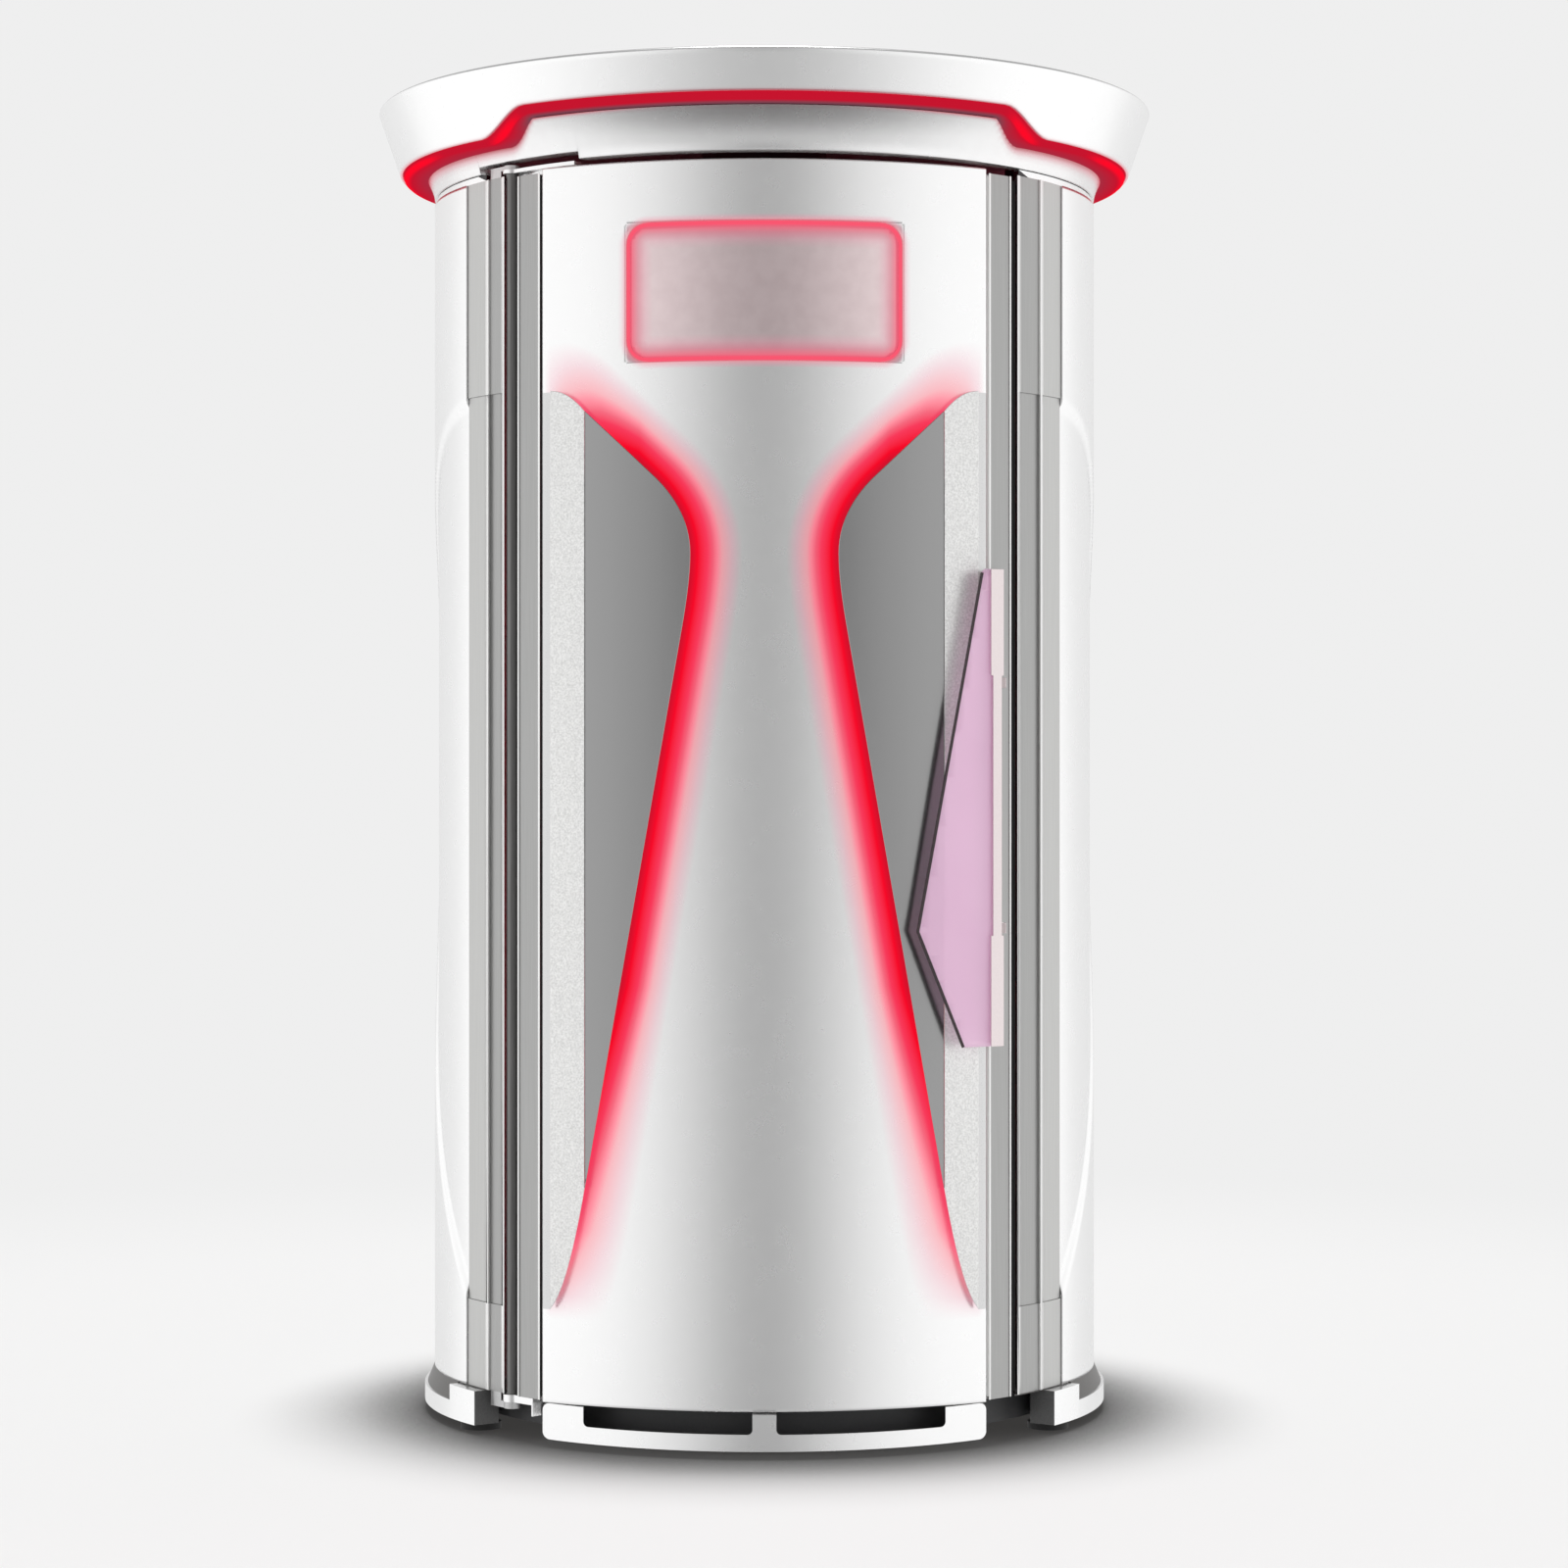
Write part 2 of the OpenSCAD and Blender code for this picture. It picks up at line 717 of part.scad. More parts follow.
module fascia_ring() {
    bottom_r = body_r;
    notch_low = -column_left_x - 34;
    color("white") difference() {
        rotate_extrude() polygon([
            [bottom_r - 25, frame_top_z], [bottom_r, frame_top_z], [fascia_top_r, fascia_top_z],
            [fascia_top_r - fascia_t, fascia_top_z], [bottom_r - fascia_t, frame_top_z + 3],
            [bottom_r - 25, frame_top_z + 3]
        ]);
        translate([notch_low, -far, frame_top_z - 1]) cube([160, far, hinge_arm_t + 5]);
    }
}

crown_slope = (crown_top_r - crown_rim_r) / (crown_top_rise - crown_rim_rise);
function crown_r(z) = crown_rim_r + (z - crown_rim_z) * crown_slope;

// Half of the rim line in front view: level in front, an S down to the side height
function rim_line(shift, front_z, side_z) = let (w = crown_side_half_w - crown_front_half_w)
    [for (i = [0:12]) let (t = i / 12, s = t * t * (3 - 2 * t))
        [crown_front_half_w - shift + w * t, front_z + (side_z - front_z) * s]];

module crown_opening() {
    line = rim_line(0, crown_front_z, crown_rim_z);
    front_prism() polygon(concat(line, [[crown_side_half_w, crown_rim_z - 40],
        [-crown_side_half_w, crown_rim_z - 40]], mirrored(line)));
}

module canopy_crown() {
    lip_z = roof_z;
    color("white") difference() {
        rotate_extrude() polygon([
            [crown_rim_r - crown_t, crown_rim_z], [crown_rim_r, crown_rim_z], [crown_top_r, crown_top_z],
            [crown_top_r - 22, crown_top_z], [crown_top_r - 22, crown_top_z - crown_t],
            [crown_r(crown_top_z - crown_t) - crown_t - 1, crown_top_z - crown_t],
            [crown_r(lip_z + 4) - crown_t, lip_z + 4], [crown_r(lip_z) - crown_t - 22, lip_z + 4],
            [crown_r(lip_z) - crown_t - 22, lip_z], [crown_r(lip_z) - crown_t, lip_z]
        ]);
        crown_opening();
    }
}

module canopy_light_strip() {
    gap = crown_t + 0.5;
    inner = 22;
    low = crown_rim_z - 20;
    high = crown_front_z + 16;
    side_low = crown_rim_z - 9;
    side_high = crown_rim_z + 12;
    under = rim_line(14, crown_front_z - glow_drop, side_low);
    over = rim_line(2, crown_front_z + 7, side_high);
    color([1, 0.05, 0.15]) union() {
        intersection() {
            rotate_extrude() polygon([
                [crown_r(low) - gap - inner, low], [crown_r(low) - gap, low],
                [crown_r(high) - gap, high], [crown_r(high) - gap - inner, high]
            ]);
            front_prism() polygon(concat(
                under, [[far, side_low], [far, side_high]], [for (i = [len(over) - 1:-1:0]) over[i]],
                [for (p = over) [-p[0], p[1]]], [[-far, side_high], [-far, side_low]], mirrored(under)));
        }
        intersection() {
            rotate_extrude() polygon([
                [crown_r(side_low) - gap - inner, side_low], [crown_r(side_low) - gap, side_low],
                [crown_r(side_high) - gap, side_high], [crown_r(side_high) - gap - inner, side_high]
            ]);
            translate([-far, -1, 0]) cube([2 * far, far, 3 * far]);
        }
    }
}

module canopy_roof() {
    plate_r = crown_r(roof_z) - crown_t - 3;
    color("lightgray") difference() {
        union() {
            translate([0, 0, roof_z - roof_t]) cylinder(r = plate_r, h = roof_t);
            translate([0, 0, roof_z]) cylinder(r = spigot_r, h = spigot_h);
        }
        translate([0, 0, roof_z - roof_t - 1]) cylinder(r = spigot_r - 3, h = spigot_h + roof_t + 2);
    }
}

module ceiling_panel() {
    color("whitesmoke") difference() {
        union() {
            translate([0, 0, ceiling_z]) cylinder(r = deck_r, h = ceiling_t);
            ring_wall(deck_r - 8, deck_r, ceiling_z, panel_top_z);
        }
        translate([0, 0, ceiling_z - 1]) cylinder(r = fan_r, h = ceiling_t + 2);
    }
}

module grab_handles() {
    bar_z = ceiling_z - grab_drop;
    color("silver") both_sides() translate([grab_x, 0, 0]) {
        for (s = [-1, 1]) translate([0, s * grab_len / 2, 0]) {
            translate([0, 0, bar_z]) cylinder(r = grab_r, h = grab_drop);
            translate([0, 0, bar_z]) sphere(grab_r);
            translate([0, 0, ceiling_z - 4]) cylinder(r = grab_r + 8, h = 4);
        }
        translate([0, -grab_len / 2, bar_z]) rotate([-90, 0, 0]) cylinder(r = grab_r, h = grab_len);
    }
}

// Exhaust fan

fan_mid_z = ceiling_top_z + 24;
motor_z = fan_mid_z + 20;
motor_h = 50;

module fan_housing() {
    color("dimgray") difference() {
        union() {
            translate([0, 0, ceiling_top_z]) cylinder(r = fan_r + 3, h = roof_z - roof_t - ceiling_top_z);
            translate([0, 0, ceiling_top_z]) cylinder(r = fan_r + 22, h = 3);
        }
        translate([0, 0, ceiling_top_z - 1]) cylinder(r = fan_r, h = roof_z);
    }
}

module fan_motor() {
    color([0.2, 0.2, 0.22]) difference() {
        union() {
            translate([0, 0, motor_z]) cylinder(r = hub_r + 2, h = motor_h);
            for (a = [0, 120, 240]) rotate([0, 0, a])
                translate([0, -4, motor_z + motor_h - 16]) cube([fan_r - seat_gap, 8, 12]);
        }
        translate([0, 0, motor_z - 1]) cylinder(r = shaft_r + hinge_clearance, h = motor_h - 9);
    }
}

module fan_rotor() {
    color([0.16, 0.16, 0.17]) union() {
        translate([0, 0, fan_mid_z - 14]) cylinder(r = hub_r, h = hub_h);
        translate([0, 0, fan_mid_z]) cylinder(r = shaft_r, h = motor_z - fan_mid_z + motor_h - 14);
        for (i = [0:blades - 1]) rotate([0, 0, i * 360 / blades])
            translate([hub_r - 3, 0, fan_mid_z]) rotate([32, 0, 0])
                translate([0, -blade_w / 2, -1.5]) cube([blade_r - hub_r, blade_w, 3]);
    }
}

module fan_guard() {
    z0 = ceiling_z - 4;
    color("silver") union() {
        for (r = [26:21:fan_r + 10]) ring_wall(r - 1.5, r + 1.5, z0, z0 + 3);
        for (a = [0, 60, 120]) rotate([0, 0, a])
            translate([-fan_r - 12, -2, z0 + 1]) cube([2 * fan_r + 24, 4, 3]);
    }
}

// Lamps

cabin_span = full_a - 2 * (cover_end_a + 8);
function cabin_lamp_a(i) = cover_end_a + 8 + i * cabin_span / (cabin_lamps - 1);
door_span = 70;
function door_lamp_a(i) = -door_span / 2 + i * door_span / (door_lamps - 1);
pin_r = 1.2;
pin_x = 6;

// Bright sheet behind the lamps, with its two ends turned in towards the guards
module reflector(a0, a1, z0, z1) {
    difference() {
        arc_wall(guard_r + guard_t + 2, reflector_r + reflector_t, a0, a1, z0, z1);
        arc_wall(guard_r, reflector_r, a0 + 0.2, a1 - 0.2, z0 - 1, z1 + 1);
    }
}

module cabin_reflectors() {
    a0 = cover_end_a + 0.6;
    color("silver") reflector(a0, full_a - a0, deck_top_z, ceiling_z);
}

// One hollow lamp with its end pins between two lampholder faces
module lamp(z0, z1) {
    cap = 12;
    difference() {
        translate([0, 0, z0 + 0.4]) cylinder(r = lamp_r, h = z1 - z0 - 0.8);
        translate([0, 0, z0 + cap]) cylinder(r = lamp_r - lamp_wall, h = z1 - z0 - 2 * cap);
    }
    for (s = [-1, 1], z = [z0 - 6, z1 - 4]) translate([s * pin_x, 0, z]) cylinder(r = pin_r, h = 10);
}

module lampholder(z0) {
    difference() {
        translate([-lamp_r - 2, -lamp_r + 3, z0]) cube([2 * lamp_r + 4, 2 * lamp_r - 6, holder_h]);
        for (s = [-1, 1]) translate([s * pin_x, 0, z0 - 1])
            cylinder(r = pin_r + 0.3, h = holder_h + 2);
    }
}

module cabin_lamp_tubes() {
    color([1, 0.3, 0.35]) for (i = [0:cabin_lamps - 1])
        at_polar(lamp_circle_r, cabin_lamp_a(i)) lamp(deck_top_z + holder_h, ceiling_z - holder_h);
}

module cabin_lampholders() {
    color("white") for (i = [0:cabin_lamps - 1]) at_polar(lamp_circle_r, cabin_lamp_a(i)) {
        lampholder(deck_top_z);
        lampholder(ceiling_z - holder_h);
    }
}

module cabin_guards() {
    a0 = cover_end_a + 0.3;
    step = (full_a - 2 * a0) / 3;
    color([0.9, 0.93, 0.95, 0.35]) for (i = [0:2])
        arc_wall(guard_r, guard_r + guard_t, a0 + i * step, a0 + (i + 1) * step - (i < 2 ? 0.1 : 0),
                 deck_top_z, ceiling_z);
}

module lamp_drivers() {
    color([0.3, 0.3, 0.32]) for (a = [140, 154, 206, 220])
        at_polar(column_inner_r - 4, a, panel_bottom_z)
            translate([-driver_w / 2, -driver_d / 2, 0]) cube([driver_w, driver_d, driver_h]);
}

// Mains connection and controls

box_face_y = body_r + 14;
rocker_r = 11;
rocker_w = 18;
rocker_x = -22;
rocker_y = box_face_y - rocker_r + 1.5;
rocker_pin_r = 2;
rocker_pin_out = 3;
gland_x = 26;

// Connection box on the rear panel with a recess for the switch and a gland for the mains lead
module power_inlet() {
    color([0.25, 0.25, 0.26]) union() {
        difference() {
            translate([-inlet_w / 2, body_r - 8, inlet_z - inlet_h / 2])
                cube([inlet_w, box_face_y - body_r + 8, inlet_h]);
            cylinder(r = body_r + seat_gap, h = inlet_z + inlet_h, $fn = 360);
            translate([rocker_x - rocker_w / 2 - 0.4, body_r - 10, inlet_z - rocker_r - 0.4])
                cube([rocker_w + 0.8, 40, 2 * rocker_r + 0.8]);
            translate([rocker_x - rocker_w / 2 - rocker_pin_out - 1, rocker_y, inlet_z]) rotate([0, 90, 0])
                cylinder(r = rocker_pin_r + hinge_clearance, h = rocker_w + 2 * rocker_pin_out + 2);
        }
        translate([gland_x, box_face_y, inlet_z]) rotate([-90, 0, 0]) difference() {
            union() {
                cylinder(r = 15, h = 6, $fn = 6);
                translate([0, 0, 6]) cylinder(r = 11, h = 11);
            }
            translate([0, 0, 3]) cylinder(r = 6, h = 20);
        }
    }
}

module main_switch() {
    color([0.75, 0.05, 0.05]) translate([rocker_x - rocker_w / 2, rocker_y, inlet_z])
        rotate([0, 90, 0]) union() {
            cylinder(r = rocker_r, h = rocker_w);
            translate([0, 0, -rocker_pin_out]) cylinder(r = rocker_pin_r, h = rocker_w + 2 * rocker_pin_out);
            translate([-9, rocker_r - 5, 1]) cube([6, 7, rocker_w - 2]);
        }
}

pod_wall = 2.5;
button_dx = 18;
display_w = 68;
display_h = 46;
display_z = pod_z + pod_h - 42;
button_z = pod_z + pod_h - 95;
stop_z = pod_z + 42;

// Everything on the control panel is placed from the cover's inner face, +Y towards the user
module at_panel() {
    at_polar(guard_r, panel_a) children();
}

module press_bore(x, z, r) {
    translate([x, 0, z]) rotate([-90, 0, 0]) cylinder(r = r, h = pod_d + 5);
}

module control_panel() {
    color([0.85, 0.85, 0.86]) intersection() {
        cylinder(r = guard_r - seat_gap, h = far * 3);
        at_panel() difference() {
            translate([-pod_w / 2, -10, pod_z]) cube([pod_w, pod_d + 10, pod_h]);
            translate([-pod_w / 2 + pod_wall, -11, pod_z + pod_wall])
                cube([pod_w - 2 * pod_wall, pod_d + 11 - pod_wall, pod_h - 2 * pod_wall]);
            for (s = [-1, 1]) press_bore(s * button_dx, button_z, button_r + 0.15);
            press_bore(0, stop_z, stop_r / 2 + 0.2);
        }
    }
}

module control_display() {
    color([0.05, 0.06, 0.08]) at_panel()
        translate([-display_w / 2, pod_d, display_z - display_h / 2]) cube([display_w, 1.5, display_h]);
}

// A button with its flange behind the panel's front wall
module push_button(x) {
    at_panel() translate([x, 0, button_z]) rotate([-90, 0, 0]) {
        translate([0, 0, pod_d - pod_wall - 2.2]) cylinder(r = button_r + 1.5, h = 2);
        translate([0, 0, pod_d - pod_wall - 2.2]) cylinder(r = button_r, h = pod_wall + 2.2 + button_travel + 1);
    }
}

module start_button() {
    color("limegreen") push_button(-button_dx);
}

module timer_button() {
    color("lightgray") push_button(button_dx);
}

module emergency_stop() {
    lift = stop_travel + 0.6;
    color("red") at_panel() translate([0, 0, stop_z]) rotate([-90, 0, 0]) {
        translate([0, 0, pod_d - pod_wall - 2.2]) cylinder(r = stop_r / 2 + 1.5, h = 2);
        translate([0, 0, pod_d - pod_wall - 2.2]) cylinder(r = stop_r / 2, h = pod_wall + 2.2 + lift + 2);
        translate([0, 0, pod_d + lift]) cylinder(r = stop_r, h = 7);
        translate([0, 0, pod_d + lift + 7]) cylinder(r1 = stop_r, r2 = stop_r - 4, h = 3);
    }
}

// Hinge and catch

module at_hinge() {
    translate([-hinge_x, hinge_y, 0]) children();
}

module bracket_plan(reach_in) {
    x_out = -column_left_x - 26;
    intersection() {
        plan_ring(hinge_r - 12, hinge_r + 9);
        slab(x_out, reach_in);
        sector(0.2 - block_start_a, 0);
    }
}

catch_angles = [26, 32];
arm_top_z = door_top_z + hinge_arm_rise;
bracket_top_z = arm_top_z + hinge_arm_t + 0.2;
arm_low_z = door_bottom_z - 12;
bracket_low_z = arm_low_z - 0.3 - 11;

module hinge_brackets() {
    over_column = -column_left_x - 7.5;
    color([0.85, 0.85, 0.85]) difference() {
        union() {
            translate([0, 0, panel_top_z])
                linear_extrude(bracket_top_z + 7 - panel_top_z) bracket_plan(over_column);
            translate([0, 0, bracket_top_z]) linear_extrude(7) union() {
                bracket_plan(-hinge_x);
                at_hinge() circle(hinge_pin_r + 7);
            }
            translate([0, 0, bracket_low_z]) linear_extrude(panel_bottom_z - bracket_low_z) bracket_plan(over_column);
            translate([0, 0, bracket_low_z]) linear_extrude(11) union() {
                bracket_plan(-hinge_x);
                at_hinge() circle(hinge_pin_r + 7);
            }
        }
        at_hinge() cylinder(r = hinge_pin_r + 0.02, h = far * 3);
    }
}

module hinge_pins() {
    color("silver") at_hinge() {
        translate([0, 0, door_top_z - hinge_pin_in]) cylinder(r = hinge_pin_r, h = bracket_top_z + 7 - door_top_z + hinge_pin_in);
        translate([0, 0, bracket_low_z]) cylinder(r = hinge_pin_r, h = door_bottom_z - bracket_low_z + hinge_pin_in);
    }
}

module hinge_tube() {
    color([0.45, 0.45, 0.46]) at_hinge() translate([0, 0, door_bottom_z]) difference() {
        cylinder(r = hinge_tube_r, h = arm_top_z - door_bottom_z);
        translate([0, 0, -1]) cylinder(r = hinge_pin_r + hinge_clearance, h = panel_h + 10);
    }
}

module arm_plan(a_end) {
    intersection() {
        plan_ring(hinge_r - 15, hinge_r + 7);
        sector(hinge_a, a_end);
    }
    at_hinge() circle(hinge_tube_r + 5.5);
}

module arm_foot(a_end) {
    intersection() {
        plan_ring(hinge_r - 15, hinge_r + 7);
        sector(hinge_a, a_end);
        slab(-door_half_w, 0);
    }
}

module hinge_arms() {
    top_a = hinge_a + hinge_arm_reach;
    low_a = hinge_a + 6;
    color("white") difference() {
        union() {
            translate([0, 0, arm_top_z]) linear_extrude(hinge_arm_t) arm_plan(top_a);
            translate([0, 0, stile_top_z]) linear_extrude(arm_top_z - stile_top_z) difference() {
                arm_foot(top_a);
                plan_ring(hinge_r - 3, far);
            }
            translate([0, 0, arm_low_z]) linear_extrude(door_bottom_z - arm_low_z) arm_plan(low_a);
            translate([0, 0, arm_low_z - 18]) linear_extrude(18) intersection() {
                arm_foot(low_a);
                slab(-stile_inner_x - 15, -stile_inner_x);
            }
        }
        at_hinge() cylinder(r = hinge_pin_r + hinge_clearance, h = far * 3);
    }
}

module catch_magnets() {
    z0 = shelf_high_z + shelf_t + 2;
    depth = stile_inner_r - deck_r - 2 * seat_gap;
    color([0.3, 0.3, 0.3]) for (a = catch_angles) at_polar(stile_inner_r - seat_gap, a, z0)
        translate([-14, 0, 0]) cube([28, depth, panel_top_z - z0 - 2]);
}

// Door leaf

// Outline in plan of the door skin's front, inset by t, with rounded upright edges
module skin_outline(t) {
    fillet_x = skin_half_w - skin_edge_r;
    fillet_d = skin_r - skin_edge_r;
    fillet_y = skin_y - sqrt(fillet_d * fillet_d - fillet_x * fillet_x);
    half_a = asin(fillet_x / fillet_d);
    intersection() {
        translate([0, skin_y]) circle(skin_r - t);
        translate([0, skin_y]) sector(-half_a, half_a);
    }
    for (s = [-1, 1]) translate([s * fillet_x, fillet_y]) circle(skin_edge_r - t);
    translate([-skin_half_w + t, fillet_y]) square([2 * (skin_half_w - t), -fillet_y]);
}

skin_back_y = -sqrt(body_r * body_r - skin_half_w * skin_half_w) - 1.5;

module door_skin_sheet() {
    translate([0, 0, door_bottom_z]) linear_extrude(door_top_z - door_bottom_z) intersection() {
        difference() {
            skin_outline(0);
            skin_outline(skin_t);
        }
        translate([-far, -far]) square([2 * far, far + skin_back_y]);
    }
}

module at_sign() {
    front_prism() translate([0, sign_z]) children();
}

module door_skin() {
    color("white") difference() {
        door_skin_sheet();
        at_sign() rounded_rect(sign_w + 1, sign_h + 1, sign_corner_r + 0.5);
    }
}

module stile_plan() {
    difference() {
        intersection() {
            plan_ring(stile_inner_r, body_r);
            slab(stile_inner_x, door_half_w);
        }
        intersection() {
            plan_ring(stile_inner_r + stile_wall, body_r - stile_wall);
            slab(stile_inner_x + stile_wall, door_half_w - stile_wall);
        }
    }
}

module door_stiles() {
    color([0.7, 0.7, 0.69]) both_sides()
        translate([0, 0, door_bottom_z]) linear_extrude(stile_top_z - door_bottom_z) stile_plan();
}

module rail_plan(inset) {
    difference() {
        union() {
            intersection() {
                skin_outline(skin_t + seat_gap + inset);
                translate([-far, -far]) square([2 * far, far + skin_back_y - 1]);
            }
            intersection() {
                circle(body_r - 12 - inset);
                slab(-stile_inner_x, stile_inner_x);
            }
        }
        circle(stile_inner_r - (inset > 0 ? 5 : 0));
    }
}

module rail(z0) {
    difference() {
        translate([0, 0, z0]) linear_extrude(rail_h) rail_plan(0);
        translate([0, 0, z0 + stile_wall]) linear_extrude(rail_h - 2 * stile_wall) rail_plan(stile_wall);
    }
}

module rail_shelf(z0) {
    translate([0, 0, z0]) linear_extrude(shelf_t) {
        rail_plan(0);
        intersection() {
            plan_ring(guard_r - 2, stile_inner_r + 2);
            sector(-door_inner_a, door_inner_a);
        }
    }
}

door_inner_a = 43;

module door_rails() {
    color("lightgray") union() {
        rail(door_bottom_z);
        rail(stile_top_z - rail_h);
        rail_shelf(shelf_low_z);
        rail_shelf(shelf_high_z);
        // striker plate of the catch
        translate([0, 0, shelf_high_z + shelf_t - 1])
            linear_extrude(stile_top_z - stile_wall - shelf_high_z - shelf_t + 2) intersection() {
                plan_ring(stile_inner_r, stile_inner_r + 2);
                sector(catch_angles[0] - 4, catch_angles[1] + 4);
            }
    }
}

// Wing outline in front view for the +X side
function wing_points() = let (
        diag = [wing_waist_x + 55, wing_waist_z + 121],
        straight = [wing_waist_x + 13, wing_waist_z - 117],
        low = [wing_outer_x - 66, wing_bottom_z + 248]
    )
    concat(
        [[wing_outer_x, wing_top_z]],
        bezier([[wing_outer_x, wing_top_z], [wing_outer_x - 25, wing_top_z - 1],
                [wing_outer_x - 40, wing_top_z - 16], [wing_outer_x - 57, wing_top_z - 35]], 5),
        [diag],
        bezier([diag, [wing_waist_x + 22, wing_waist_z + 88], [wing_waist_x, wing_waist_z + 48],
                [wing_waist_x, wing_waist_z]], 8),
        bezier([[wing_waist_x, wing_waist_z], [wing_waist_x, wing_waist_z - 35],
                [wing_waist_x + 6, wing_waist_z - 77], straight], 5),
        [low],
        bezier([low, [wing_outer_x - 49, wing_bottom_z + 152], [wing_outer_x - 29, wing_bottom_z + 36],
                [wing_outer_x, wing_bottom_z]], 7)
    );

module wing_area() {
    polygon(wing_points());
}

module skin_band(r0, r1) {
    translate([0, skin_y, 0]) ring_wall(r0, r1, 0, door_top_z);
}

module wing_piece(x0, x1) {
    intersection() {
        skin_band(wing_r, wing_r + wing_t);
        front_prism() intersection() {
            wing_area();
            translate([x0, 0]) square([x1 - x0, door_top_z]);
        }
    }
}

module wing_right() {
    color([0.55, 0.56, 0.56]) wing_piece(0, wing_split_x);
}

module wing_left() {
    color([0.55, 0.56, 0.56]) mirror([1, 0, 0]) wing_piece(0, wing_split_x);
}

module wing_edge_strips() {
    color([0.87, 0.87, 0.86]) both_sides() {
        wing_piece(wing_split_x + 0.2, far);
        intersection() {
            skin_band(skin_r + seat_gap, wing_r + 1);
            front_prism() intersection() {
                wing_area();
                translate([wing_outer_x - 14, 0]) square([10, door_top_z]);
            }
        }
    }
}

module wing_light_strips() {
    color([1, 0.05, 0.15]) both_sides() intersection() {
        skin_band(skin_r + seat_gap, wing_r - seat_gap);
        front_prism() intersection() {
            difference() {
                translate([strip_inset, 0]) wing_area();
                translate([strip_inset + strip_w, 0]) wing_area();
            }
            translate([0, wing_bottom_z + 30]) square([wing_split_x + 5, wing_top_z - wing_bottom_z - 70]);
            wing_area();
        }
    }
}

module sign_light_frame() {
    color([1, 0.2, 0.3]) intersection() {
        skin_band(skin_r - skin_t - 2, skin_r + 2);
        at_sign() difference() {
            rounded_rect(sign_w, sign_h, sign_corner_r);
            rounded_rect(sign_w - 2 * sign_border, sign_h - 2 * sign_border, sign_corner_r - sign_border);
        }
    }
}

module sign_panel() {
    edge = 2 * sign_border + 2 * seat_gap;
    color([0.8, 0.66, 0.68, 0.8]) intersection() {
        skin_band(skin_r - skin_t, skin_r);
        at_sign() rounded_rect(sign_w - edge, sign_h - edge, sign_corner_r - sign_border - seat_gap);
    }
}

module door_reflector() {
    color("silver") reflector(-door_inner_a, door_inner_a, shelf_low_z + shelf_t, shelf_high_z);
}

module door_lamp_tubes() {
    color([1, 0.3, 0.35]) for (i = [0:door_lamps - 1]) at_polar(lamp_circle_r, door_lamp_a(i))
        lamp(shelf_low_z + shelf_t + holder_h, shelf_high_z - holder_h);
}

module door_lampholders() {
    color("white") for (i = [0:door_lamps - 1]) at_polar(lamp_circle_r, door_lamp_a(i)) {
        lampholder(shelf_low_z + shelf_t);
        lampholder(shelf_high_z - holder_h);
    }
}

module door_guard() {
    color([0.9, 0.93, 0.95, 0.35]) arc_wall(guard_r, guard_r + guard_t, -door_inner_a, door_inner_a,
        shelf_low_z + shelf_t, shelf_high_z);
}

module door_seals() {
    z0 = deck_top_z + 4;
    h = ceiling_z - 8 - z0;
    y_right = -sqrt(pow(stile_inner_r + 10, 2) - door_half_w * door_half_w);
    y_left = -sqrt(pow(stile_inner_r + 5, 2) - door_half_w * door_half_w);
    w_right = column_right_x - door_half_w - 1.2;
    color([0.05, 0.05, 0.05]) {
        translate([door_half_w, y_right - 5, z0]) cube([w_right, 10, h]);
        translate([-door_half_w - 7, y_left, z0]) cube([7, 5, h]);
    }
}

// Handle

handle_top_z = handle_bottom_z + handle_h;
handle_slot_x = handle_x - 2;

module handle_solid(w, z0, h) {
    intersection() {
        translate([handle_x - w / 2, -far, z0]) cube([w, far, h]);
        translate([0, skin_y, 0]) cylinder(r = handle_r + handle_plate_t + 6, h = door_top_z);
        ring_wall(body_r + 0.05, far, 0, door_top_z);
    }
}

module handle_clip(z0) {
    y0 = -sqrt(body_r * body_r - handle_x * handle_x) - 40;
    translate([handle_x + handle_rail_w / 2 - 1, y0, z0]) cube([10, 14, 17]);
}

module handle_bar() {
    color([0.86, 0.78, 0.79]) difference() {
        union() {
            handle_solid(handle_rail_w, handle_bottom_z, handle_h);
            handle_solid(handle_block_w, handle_top_z - handle_top_block, handle_top_block);
            handle_solid(handle_block_w, handle_bottom_z, handle_low_block);
            handle_clip(handle_top_z - handle_top_block - 19);
            handle_clip(handle_bottom_z + handle_low_block + 2);
        }
        intersection() {
            skin_band(handle_r - seat_gap, handle_r + handle_plate_t + seat_gap);
            translate([0, -far, handle_bottom_z - 1]) cube([handle_slot_x + seat_gap, far, handle_h + 2]);
        }
    }
}

module handle_plate() {
    color([0.9, 0.6, 0.72, 0.6]) intersection() {
        skin_band(handle_r, handle_r + handle_plate_t);
        front_prism() polygon([
            [handle_slot_x, handle_bottom_z], [handle_slot_x, handle_top_z], [handle_x - 19, handle_top_z],
            [handle_x - 25, handle_top_z - 6], [handle_tip_x, handle_tip_z], [handle_x - 56, handle_bottom_z]
        ]);
    }
}

